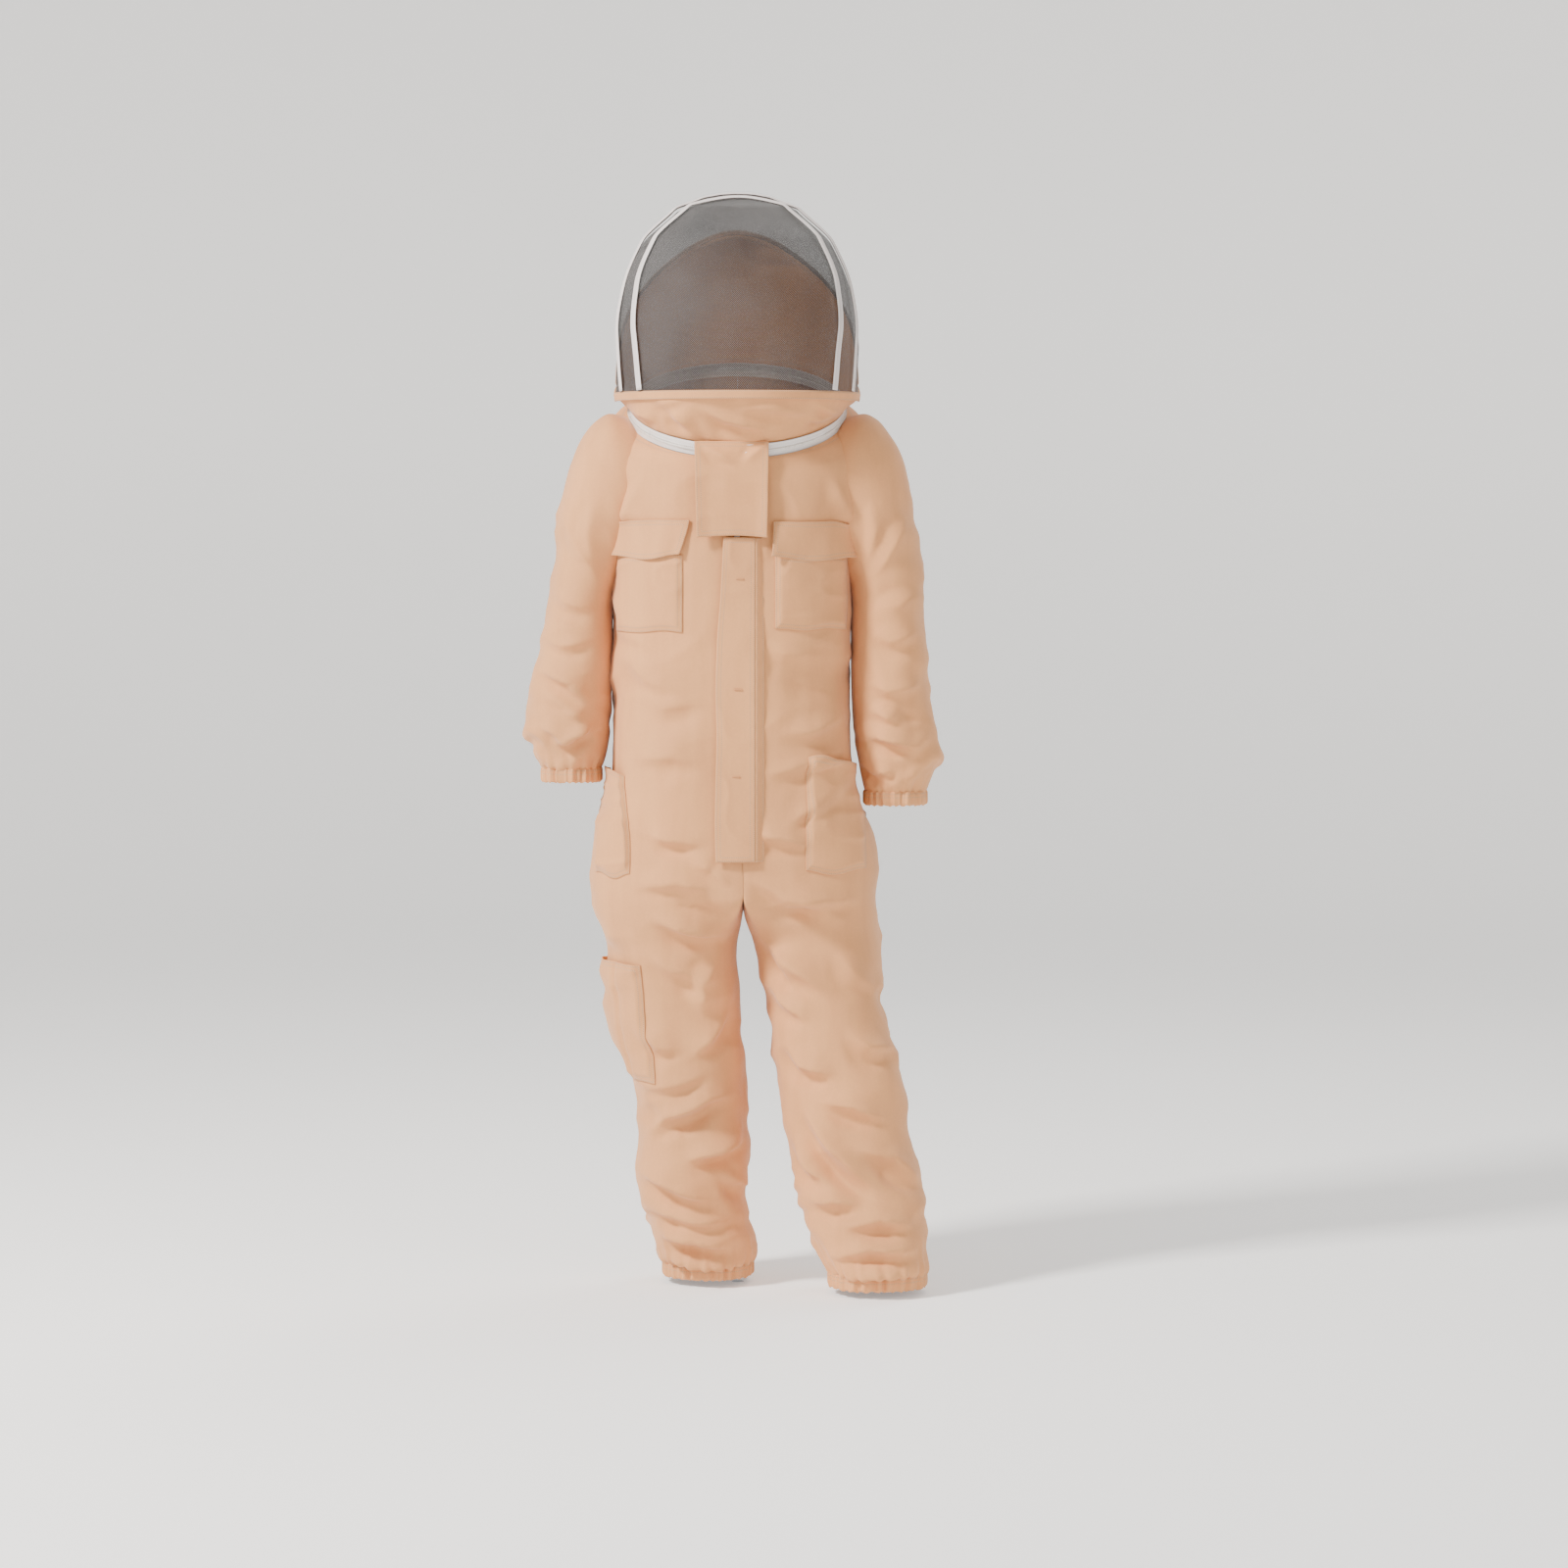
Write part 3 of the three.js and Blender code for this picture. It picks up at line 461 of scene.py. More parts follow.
@dataclass
class Shader:
    """A material's node tree, and the one way to add nodes to it."""

    material: Any

    @classmethod
    def fresh(cls, name: str) -> "Shader":
        """A new, empty material."""
        material = bpy.data.materials.new(name)
        material.use_nodes = True
        material.node_tree.nodes.clear()
        return cls(material)

    def node(self, kind: str, settings: dict[str, Any], sockets: dict[Any, Any], out: Any = 0) -> Value:
        """Adds a node.

        Args:
            kind: The node's type.
            settings: Its properties, set first.
            sockets: Values or links, by socket name or number.
            out: The output that is returned.

        Returns:
            The output socket.
        """
        made = self.material.node_tree.nodes.new(kind)
        for key, value in settings.items():
            setattr(made, key, value)
        for key, value in sockets.items():
            if isinstance(value, Value):
                self.material.node_tree.links.new(value.link, made.inputs[key])
            elif value is not None:
                made.inputs[key].default_value = value
        return Value(self, made.outputs[out])

    def cloth(self) -> tuple[Value, ...]:
        """Metres across the cloth, down it, and from its stitches."""
        place = self.node("ShaderNodeAttribute", {"attribute_name": "cloth"}, {}, "Vector")
        parts = self.material.node_tree.nodes.new("ShaderNodeSeparateXYZ")
        self.material.node_tree.links.new(place.link, parts.inputs[0])
        return tuple(Value(self, parts.outputs[k]) for k in range(3))

    def spots(self, size: float, detail: float = 2.0, stretch: Point = (1, 1, 1)) -> Value:
        """Soft noise in the object's own space, lumps of a size in metres."""
        place = self.node("ShaderNodeTexCoord", {}, {}, "Object")
        scaled = self.node(
            "ShaderNodeVectorMath", {"operation": "MULTIPLY"}, {0: place, 1: tuple(s / size for s in stretch)}
        )
        sockets = {"Vector": scaled, "Scale": 1.0, "Detail": detail, "Roughness": 0.55}
        return self.node("ShaderNodeTexNoise", {}, sockets)

    def mixed(self, first: Any, second: Any, share: Any, blend: str = "MIX") -> Value:
        """A mix of two colours."""
        made = self.material.node_tree.nodes.new("ShaderNodeMix")
        made.data_type, made.blend_type = "RGBA", blend
        for socket, value in ((made.inputs[0], share), (made.inputs[6], first), (made.inputs[7], second)):
            if isinstance(value, Value):
                self.material.node_tree.links.new(value.link, socket)
            else:
                socket.default_value = value
        return Value(self, made.outputs[2])

    def bump(self, height: Value, distance: float, strength: float = 1.0, on: Value | None = None) -> Value:
        """A bump normal from a height between 0 and 1."""
        sockets = {"Strength": strength, "Distance": distance, "Height": height, "Normal": on}
        return self.node("ShaderNodeBump", {}, sockets)

    def finish(self, sockets: dict[str, Any]) -> None:
        """Ends the tree in a Principled shader with these sockets."""
        shader = self.node("ShaderNodeBsdfPrincipled", {}, sockets)
        out = self.material.node_tree.nodes.new("ShaderNodeOutputMaterial")
        self.material.node_tree.links.new(shader.link, out.inputs["Surface"])


def shade(red: float, green: float, blue: float, alpha: float = 1.0) -> tuple[float, float, float, float]:
    """A colour from screen values of 0 to 255, as the linear numbers that shaders take."""
    parts = [c / 255 for c in (red, green, blue)]
    linear = [c / 12.92 if c <= 0.04045 else ((c + 0.055) / 1.055) ** 2.4 for c in parts]
    return (*linear, alpha)


@dataclass(frozen=True)
class Finish:
    """What a piece is made of. Each finish makes its material once."""

    name: str

    def material(self) -> bpy.types.Material:
        """The finish's material, made the first time it is asked for."""
        found = bpy.data.materials.get(self.name)
        if found:
            return found
        shader = Shader.fresh(self.name)
        self.dress(shader)
        return shader.material

    def dress(self, shader: Shader) -> None:
        """Builds the nodes."""
        raise NotImplementedError


@dataclass(frozen=True)
class Twill(Finish):
    """Poly-cotton twill: diagonal ribs, slubs, faint creases, two rows of stitches by its edges."""

    colour: tuple[float, float, float, float] = shade(208, 148, 98)
    rib: float = 0.0011
    rows: int = 1

    def dress(self, shader: Shader) -> None:
        """Builds the twill's nodes."""
        across, down, seam = shader.cloth()
        diagonal = ((across + down * 0.62) / self.rib).part()
        thread = ((across - down * 0.2) / (self.rib * 0.55) * math.tau).wave() * 0.5 + 0.5
        rib = (diagonal * math.pi).wave() * (0.75 + 0.25 * thread)
        slub = shader.spots(0.03, 3.0, (1, 1, 0.12))
        patch = shader.spots(0.22, 3.0)
        grain = shader.spots(0.0035, 2.0)
        line = seam.size().less(0.0007)
        if self.rows > 1:
            line = line.higher((seam - 0.0055).size().less(0.0007))
        run = ((across + down) / 0.0032).part()
        stitch = line * run.less(0.68)
        hole = line * run.more(0.68)
        # painted shade: the cloth darkens towards a deeper brown within 6 mm of the stitch lines, where the
        # seams pucker
        seam_pucker_shade = seam.size().spread(0.0, 0.006, 1.0, 0.0)
        pale = tuple(min(1.0, c * 1.16) for c in self.colour)
        lighter = shader.mixed(self.colour, pale, patch.spread(0.3, 0.7))
        toned = shader.mixed(lighter, (0.8, 0.74, 0.7, 1), slub.spread(0.42, 0.75, 0.0, 0.35), "MULTIPLY")
        ribbed = shader.mixed(toned, (0.84, 0.8, 0.77, 1), rib.spread(0.55, 0.0, 0.0, 0.4), "MULTIPLY")
        speckled = shader.mixed(ribbed, (1.1, 1.08, 1.06, 1), grain.spread(0.45, 0.75, 0.0, 0.5), "MULTIPLY")
        # painted shade along the puckered seams, mixed into the colour
        seam_shaded_and_scuffed = shader.mixed(speckled, shade(150, 108, 74), seam_pucker_shade * 0.07)
        sewn = shader.mixed(seam_shaded_and_scuffed, shade(205, 165, 126), stitch * 0.6)
        # painted shade: dark brown in the gaps between the stitches, where the thread sinks into the needle
        # holes
        stitch_hole_shaded = shader.mixed(sewn, (0.18, 0.11, 0.07, 1), hole * 0.5)
        ripple = (across + down) / 0.011
        puckers = (ripple * math.tau).wave() * seam.size().spread(0.0, 0.009, 0.5, 0.0)
        height = rib * 0.35 + stitch * 1.6 + puckers * 0.6 + slub * 0.25
        small = shader.bump(height, 0.00035, 0.55)
        crumple = shader.bump(shader.spots(0.012, 3.0), 0.0011, 0.35, small)
        rough = patch.spread(0.2, 0.8, 0.74, 0.88) - grain * 0.06
        shader.finish(
            {
                "Base Color": stitch_hole_shaded,
                "Roughness": rough,
                "Normal": crumple,
                "Specular IOR Level": 0.28,
                "Sheen Weight": 0.22,
                "Sheen Roughness": 0.45,
                "Sheen Tint": (1.0, 0.93, 0.86, 1),
            }
        )


@dataclass(frozen=True)
class Tape(Finish):
    """Woven tape: fine ribs along its length, a little grey in the creases."""

    colour: tuple[float, float, float, float] = shade(224, 217, 212)
    rib: float = 0.0009

    def dress(self, shader: Shader) -> None:
        """Builds the tape's nodes."""
        across, down, seam = shader.cloth()
        warp = (across / self.rib * math.tau).wave() * 0.5 + 0.5
        weft = (down / (self.rib * 1.3) * math.tau).wave() * 0.5 + 0.5
        weave = warp * 0.6 + weft * 0.4
        patch = shader.spots(0.05, 3.0)
        line = seam.size().less(0.0006)
        stitch = line * ((across + down) / 0.003).part().less(0.66)
        soiled = shader.mixed(self.colour, shade(190, 176, 166), patch.spread(0.45, 0.8, 0.0, 0.45))
        woven = shader.mixed(soiled, (0.72, 0.7, 0.69, 1), weave.spread(0.5, 0.0, 0.0, 0.35), "MULTIPLY")
        sewn = shader.mixed(woven, shade(245, 240, 235), stitch)
        normal = shader.bump(weave * 0.5 + stitch, 0.0003, 0.6)
        rough = weave.spread(0, 1, 0.85, 0.7)
        shader.finish({"Base Color": sewn, "Roughness": rough, "Normal": normal, "Sheen Weight": 0.15})


@dataclass(frozen=True)
class Moulded(Finish):
    """Moulded zip plastic: fine grain, faint scuffs on its high places."""

    colour: tuple[float, float, float, float] = shade(228, 223, 216)

    def dress(self, shader: Shader) -> None:
        """Builds the plastic's nodes."""
        grain = shader.spots(0.0012, 2.0)
        scuff = shader.spots(0.006, 5.0, (1, 1, 0.3))
        seam_shaded_and_scuffed = shader.mixed(self.colour, shade(188, 178, 168), scuff.spread(0.5, 0.72, 0.0, 0.5))
        normal = shader.bump(grain * 0.6 + scuff * 0.4, 0.00015, 0.5)
        rough = scuff.spread(0.3, 0.8, 0.34, 0.58)
        shader.finish({"Base Color": seam_shaded_and_scuffed, "Roughness": rough, "Normal": normal})


@dataclass(frozen=True)
class Fastener(Finish):
    """Hook-and-loop pile: a fuzzy felt of tiny loops."""

    colour: tuple[float, float, float, float] = shade(176, 138, 108)

    def dress(self, shader: Shader) -> None:
        """Builds the pile's nodes."""
        loops = shader.node("ShaderNodeTexVoronoi", {}, {"Scale": 700.0}, "Distance")
        tuft = shader.spots(0.002, 3.0)
        toned = shader.mixed(self.colour, shade(120, 88, 64), loops.spread(0.2, 0.7, 0.0, 0.7))
        normal = shader.bump(loops * 0.7 + tuft * 0.5, 0.0006, 0.8)
        rough = tuft.spread(0, 1, 0.86, 0.97)
        shader.finish({"Base Color": toned, "Roughness": rough, "Normal": normal, "Sheen Weight": 0.35})


@dataclass(frozen=True)
class Netting(Finish):
    """Black knitted net: thin threads round open diamonds."""

    hole: float = 0.0024
    thread: float = 0.34

    def dress(self, shader: Shader) -> None:
        """Builds the net's nodes."""
        across, down, _ = shader.cloth()
        first = ((across + down) / self.hole).part() - 0.5
        second = ((across - down) / self.hole).part() - 0.5
        near = first.size().lower(second.size())
        strand = near.spread(self.thread / 2, self.thread / 2 + 0.12, 1.0, 0.0)
        sag = shader.spots(0.09, 2.0)
        alpha = (strand * 0.5 + 0.42) * sag.spread(0.25, 0.75, 0.9, 1.0)
        tone = shader.mixed(shade(30, 29, 30), shade(62, 58, 57), sag.spread(0.3, 0.7))
        bright = shader.mixed(tone, shade(92, 88, 86), strand * 0.18)
        normal = shader.bump(strand, 0.0004, 0.5)
        rough = sag.spread(0.2, 0.8, 0.62, 0.78)
        shader.finish(
            {"Base Color": bright, "Roughness": rough, "Alpha": alpha, "Normal": normal, "Sheen Weight": 0.12}
        )
        shader.material.surface_render_method = "DITHERED"


TWILL = Twill("tan twill")
TWILL_SEWN = Twill("tan twill with one stitched edge")
TWILL_DOUBLE = Twill("tan twill with two stitched rows", rows=2)
WHITE_TAPE = Tape("white woven tape")
BINDING = Tape("hoop binding", colour=shade(212, 203, 200), rib=0.0012)
ZIP_TEETH = Moulded("moulded zip plastic")
PILE = Fastener("hook and loop pile")
NET = Netting("black netting")


# ------------------------------------------------------------------ the coverall's two halves


def section(at: Array, angles: Array) -> Array:
    """Points round one section of the suit.

    Args:
        at: Height, centre across, half width, front, back, squareness and slope.
        angles: Angles in degrees, 0 at the centre front and 90 on the wearer's left.

    Returns:
        One point for each angle.
    """
    height, centre, half, front, back, square, slope = at
    a = np.radians(angles)
    across, along = squared(np.sin(a), 2 / square), squared(np.cos(a), 2 / square)
    y = MIDDLE_Y - np.where(along > 0, MIDDLE_Y - front, back - MIDDLE_Y) * along
    return np.stack([centre + half * across, y, height + slope * (y - MIDDLE_Y)], -1)


def scattered(seed: int, count: int, low: Spot, high: Spot, side: Side, tilt: float) -> list[Fold]:
    """Folds at seeded places inside a box, for the sides that hang freely.

    Args:
        seed: Which set.
        count: How many folds.
        low: Lowest place across and up.
        high: Highest place across and up.
        side: The side of the suit.
        tilt: Largest slope of a fold.

    Returns:
        The folds.
    """
    rng = np.random.default_rng(seed)
    made = []
    for k in range(count):
        x = rng.uniform(min(low[0], high[0]), max(low[0], high[0]))
        z = between(low[1], high[1], (k + rng.uniform(0.1, 0.9)) / count)
        reach, slope, bow = rng.uniform(0.035, 0.085), rng.uniform(-tilt, tilt), rng.uniform(-0.012, 0.012)
        steps = (-1.0, -0.4, 0.3, 1.0)
        line = tuple((x + s * reach, z + s * reach * slope + bow * (1 - s * s)) for s in steps)
        width, height, lean = rng.uniform(0.012, 0.022), rng.uniform(0.0014, 0.0032), rng.uniform(0.5, 0.8)
        made.append(Fold(line, width, height, lean, side))
    return made


@dataclass
class Half:
    """One half of the coverall: its front, its back and its leg, cut as one length of cloth.

    The two halves meet at the zip, at the seam down the middle of the back and at the
    crotch. Below the crotch each one closes into a leg.
    """

    side: int
    name: str
    body: str
    pivot_x: float
    leg: tuple[tuple[float, ...], ...]  # height, inner and outer edge, middle depth, half depth
    folds: tuple[Fold, ...]
    replaced: tuple[str, ...]
    crotch: float = -0.742
    closes: float = 0.078
    outer_columns: int = 132
    inner_columns: int = 34
    bottom: float = -1.3205
    fold_depth: float = 1.9
    bend_from: float = -0.785
    bend_to: float = -0.945
    trunk: tuple[tuple[float, ...], ...] = (
        # height, centre across, half width, front, back, squareness, slope
        (-0.0103, 0.0, 0.166, -0.1364, 0.1644, 2.0, 0.4663),
        (-0.013, 0.0, 0.179, -0.1368, 0.165, 2.0, 0.46),
        (-0.018, 0.0, 0.1905, -0.137, 0.1655, 2.0, 0.45),
        (-0.03, 0.0, 0.2, -0.1372, 0.166, 2.05, 0.42),
        (-0.045, -0.001, 0.206, -0.1368, 0.1645, 2.15, 0.36),
        (-0.07, -0.002, 0.209, -0.1362, 0.1615, 2.25, 0.27),
        (-0.11, -0.003, 0.206, -0.1352, 0.1545, 2.35, 0.15),
        (-0.16, -0.005, 0.194, -0.1347, 0.149, 2.5, 0.05),
        (-0.2, -0.007, 0.1845, -0.1345, 0.146, 2.6, 0.0),
        (-0.4, -0.008, 0.1835, -0.1345, 0.142, 2.6, 0.0),
        (-0.54, -0.008, 0.1845, -0.135, 0.143, 2.6, 0.0),
        (-0.6, -0.007, 0.193, -0.1355, 0.145, 2.55, 0.0),
        (-0.64, -0.006, 0.211, -0.1355, 0.149, 2.5, 0.0),
        (-0.68, -0.005, 0.219, -0.135, 0.152, 2.5, 0.0),
        (-0.73, -0.004, 0.221, -0.134, 0.152, 2.5, 0.0),
        (-0.86, -0.004, 0.21, -0.13, 0.148, 2.5, 0.0),
    )

    def seam(self, height: float, front: bool) -> float:
        """Where the half's front or back edge runs, across the suit, at a height."""
        middle = 0.009 * float(ease((-0.6 - height) / 0.12))
        gap = between(0.0045, 0.0003, float(ease((-0.65 - height) / 0.03))) if front else 0.0001
        return middle + self.side * gap

    def trunk_row(self, height: float) -> Array:
        """The half's outline at a height, from the front edge round its side to the back edge."""
        knots = [row[0] for row in self.trunk]
        at = through(knots, np.array(self.trunk), np.array([height]))[0]
        at[0] = height
        line = section(at, np.linspace(-30, 210, 1441) * self.side)
        front, back = self.seam(height, True), self.seam(height, False)
        first = np.flatnonzero((line[:, 0] - front) * self.side > 0)[0]
        last = np.flatnonzero((line[:, 0] - back) * self.side > 0)[-1]
        ends = []
        for a, b, edge in ((first - 1, first, front), (last, last + 1, back)):
            t = (edge - line[a, 0]) / (line[b, 0] - line[a, 0])
            ends.append(line[a] + t * (line[b] - line[a]))
        return np.concatenate([ends[:1], line[first : last + 1], ends[1:]])

    def leg_row(self, height: float) -> tuple[Array, Array]:
        """The leg's outline at a height: round its outside, then back along its inside."""
        rows = np.array(self.leg)
        inner, outer, middle, depth = through(rows[:, 0], rows[:, 1:], np.array([height]))[0]
        centre, half = (inner + outer) / 2, abs(outer - inner) / 2
        lines = []
        for angles in (np.linspace(-50, 230, 561), np.linspace(230, 310, 161)):
            a = np.radians(angles)
            x = centre + self.side * half * squared(np.sin(a), 2 / 2.2)
            y = middle - depth * squared(np.cos(a), 2 / 2.2)
            lines.append(np.stack([x, y, np.full_like(x, height)], -1))
        return lines[0], lines[1]

    def heights(self) -> Array:
        """The heights of all rows, closest together where the leg bunches up."""
        parts = [
            np.linspace(-0.0103, -0.03, 8)[:-1],
            np.linspace(-0.03, -0.96, 208)[:-1],
            np.linspace(-0.96, self.bottom, 92),
        ]
        return np.concatenate(parts)

    def cut(self) -> Cloth:
        """The half as a plain sheet, before it folds."""
        rows, kept = [], []
        count_out, count_in = self.outer_columns + 1, self.inner_columns
        for height in self.heights():
            outer = resampled(self.trunk_row(max(height, -0.86)), count_out)
            outer[:, 2] = outer[:, 2] if height > -0.86 else height
            inner = resampled(np.stack([outer[-1], outer[0]]), count_in + 2)[1:-1]
            if height < self.crotch:
                share = float(ease((self.crotch - height) / self.closes))
                leg_out, leg_in = self.leg_row(height)
                leg_in = resampled(leg_in, count_in + 2)[1:-1]
                outer = between(outer, resampled(leg_out, count_out), share)
                inner = between(inner, leg_in, share)
            rows.append(np.concatenate([outer, inner]))
            kept.append(height < self.crotch)
        mask = np.ones((len(rows) - 1, count_out + count_in), bool)
        mask[~np.array(kept[:-1]), count_out - 1 :] = False
        return Cloth(np.array(rows), closed=True, kept=mask)

    def normals(self, cloth: Cloth) -> Array:
        """Outward normals, taken from the outside alone above the crotch."""
        count = self.outer_columns + 1
        whole = cloth.normals
        upper = Cloth(cloth.points[:, :count], outward=cloth.outward).normals
        share = ease((self.crotch - 0.02 - self.heights()) / 0.05)[:, None, None]
        whole[:, :count] = between(upper, whole[:, :count], share)
        return whole / np.linalg.norm(whole, axis=-1, keepdims=True)

    def fall(self, cloth: Cloth) -> None:
        """Lets the cloth fold, wrinkle and gather."""
        normals = self.normals(cloth)
        p = cloth.points
        z = self.heights()[:, None]
        legs = ease((-0.7 - z) / 0.15)
        low = ease((-1.0 - z) / 0.2)
        neck = ease((-0.02 - z) / 0.09)
        free = between(0.35, 1.0, neck)
        count = self.outer_columns + 1
        column = np.arange(p.shape[1])[None, :]
        across = np.minimum(column, count - 1 - column)
        edge = np.where(column < count, ease(across / 5.0), 1.0)
        edge = between(edge, 1.0, ease((self.crotch - 0.03 - z) / 0.05))
        flat = self.calm(p)
        rise = folded(p, normals, self.folds) * flat * self.fold_depth
        broad = creases(p, (0.17, 0.17, 0.085), 3, 0.03) * between(0.003, 0.0034, legs)
        fine = creases(p, (0.075, 0.075, 0.034), 8, 0.02) * between(0.0009, 0.0014, low)
        tiny = creases(p, (0.036, 0.036, 0.022), 21, 0.012) * between(0.0004, 0.0009, low)
        swell = noise(p, (0.24, 0.24, 0.16), 5) * 0.004
        rise = rise + (broad + fine + tiny + swell) * free * between(1.0, flat, 0.6)
        rolls = ease((-1.12 - z) / 0.12)
        phase = noise(p, (0.08, 0.08, 0.2), 31) * 1.5 + (z + 1.12) / 0.049
        roll = 0.5 + 0.5 * np.cos(phase * math.tau)
        rise = rise + (roll**0.8 - 0.45) * 0.0062 * rolls * (0.55 + 0.45 * noise(p, 0.07, 33))
        above = z - self.bottom
        out = p - p.mean(1, keepdims=True)
        angle = np.arctan2(out[..., 1], out[..., 0])
        pleat = np.cos(angle * 23 + 2.2 * noise(p, 0.06, 41)) + 0.5 * np.cos(angle * 37 + 1.3)
        rise = rise + pleat * 0.0026 * np.exp(-above / 0.022)
        groove = np.exp(-((across / 1.3) ** 2)) * 0.0016 * (column < count) * (1 - legs)
        cloth.points = p + normals * ((rise * edge - groove)[..., None])
        sag = 0.35 * ease((-0.05 - z) / 0.05) * np.clip(above / 0.03, 0, 1)
        cloth.points[..., 2] -= np.clip(rise, 0, None) * sag

    def calm(self, points: Array) -> Array:
        """Where the folds are held down, by the pockets and by the zip."""
        x, z = points[..., 0], points[..., 2]
        front = points[..., 1] < 0.0
        chest = ease((0.075 - np.abs(np.abs(x + 0.003) - 0.112)) / 0.02)
        chest = chest * ease((0.1 - np.abs(z + 0.26)) / 0.02)
        hip = ease((0.06 - np.abs(np.abs(x + 0.006) - 0.165)) / 0.02)
        hip = hip * ease((0.085 - np.abs(z + 0.63)) / 0.02)
        zip_held = ease((0.05 - np.abs(x)) / 0.02) * ease((z + 0.72) / 0.03)
        held = np.clip(np.maximum(np.maximum(chest, hip) * 0.7, zip_held * 0.9), 0, 1) * front
        return 1 - held

    def bend(self, made: Piece) -> None:
        """Bakes the piece's placement into its points."""
        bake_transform(made)

    def build(self) -> Cloth:
        """Makes the half and places it."""
        cloth = self.cut()
        self.fall(cloth)
        made = cloth.mesh(self.name, TWILL, inset=0.006)
        drop_loose(made)
        self.bend(made)
        rests_on = ["neck_zip_lower_tape"]
        size = {"flat": (0.78, 1.36), "area": 0.8}
        place(made, "", Slot.TWILL, self.replaced, **size, held="hung", rests_on=rests_on)
        return cloth


# ------------------------------------------------------------------ elastic casings, sleeves


@dataclass
class Casing:
    """A narrow casing with elastic in it, gathered round the end of a sleeve or leg."""

    name: str
    body: str
    ring: Array
    replaced: tuple[str, ...]
    flat: tuple[float, float]
    height: float = 0.0225
    puff: float = 0.0042
    pleats: int = 26
    seed: int = 1

    def build(self) -> None:
        """Makes the casing as one rolled band of gathered cloth."""
        columns, rows = 240, 26
        loop = resampled(np.concatenate([self.ring, self.ring[:1]]), columns + 1)[:-1]
        centre = loop.mean(axis=0)
        out = loop - centre
        out[:, 2] = 0
        reach = np.linalg.norm(out, axis=1, keepdims=True)
        out /= reach
        turn = np.linspace(0, 1, columns, endpoint=False)
        spot = np.stack([np.cos(turn * math.tau), np.sin(turn * math.tau), np.zeros(columns)], -1)
        drift = noise(spot, 0.35, self.seed) * 1.4
        pleat = np.cos(turn * self.pleats * math.tau + drift * 2)
        pleat = pleat + 0.45 * np.cos(turn * 61 * math.tau + drift * 5)
        grid = []
        for k in range(rows):
            share = k / (rows - 1)
            angle = share * math.pi * 1.62 + 0.15
            lift = math.sin(angle) * self.puff
            drop = (0.5 - 0.5 * math.cos(min(angle, math.pi))) * self.height
            if angle > math.pi:
                back = (angle - math.pi) / (math.pi * 0.77)
                lift = -self.puff * 1.1 * math.sin(min(back, 1) * math.pi / 2)
                drop = self.height * (1 - 0.75 * back)
            squeeze = math.sin(min(1.0, drop / self.height) * math.pi)
            bulge = lift + pleat * (0.0011 + 0.0006 * (1 - squeeze)) * (1 if angle <= math.pi else 0.4)
            edge = 0.0011 * pleat * (drop / self.height) ** 2
            point = loop + out * (bulge - 0.0012 * squeeze)[:, None]
            point[:, 2] = loop[:, 2] - drop + edge
            grid.append(point)
        cloth = Cloth(np.array(grid), closed=True)
        made = cloth.mesh(self.name, TWILL_DOUBLE, inset=0.0045)
        rests_on = [self.replaced[-1]]
        place(made, self.body, Slot.TWILL, self.replaced, flat=self.flat, held="gathered", rests_on=rests_on)


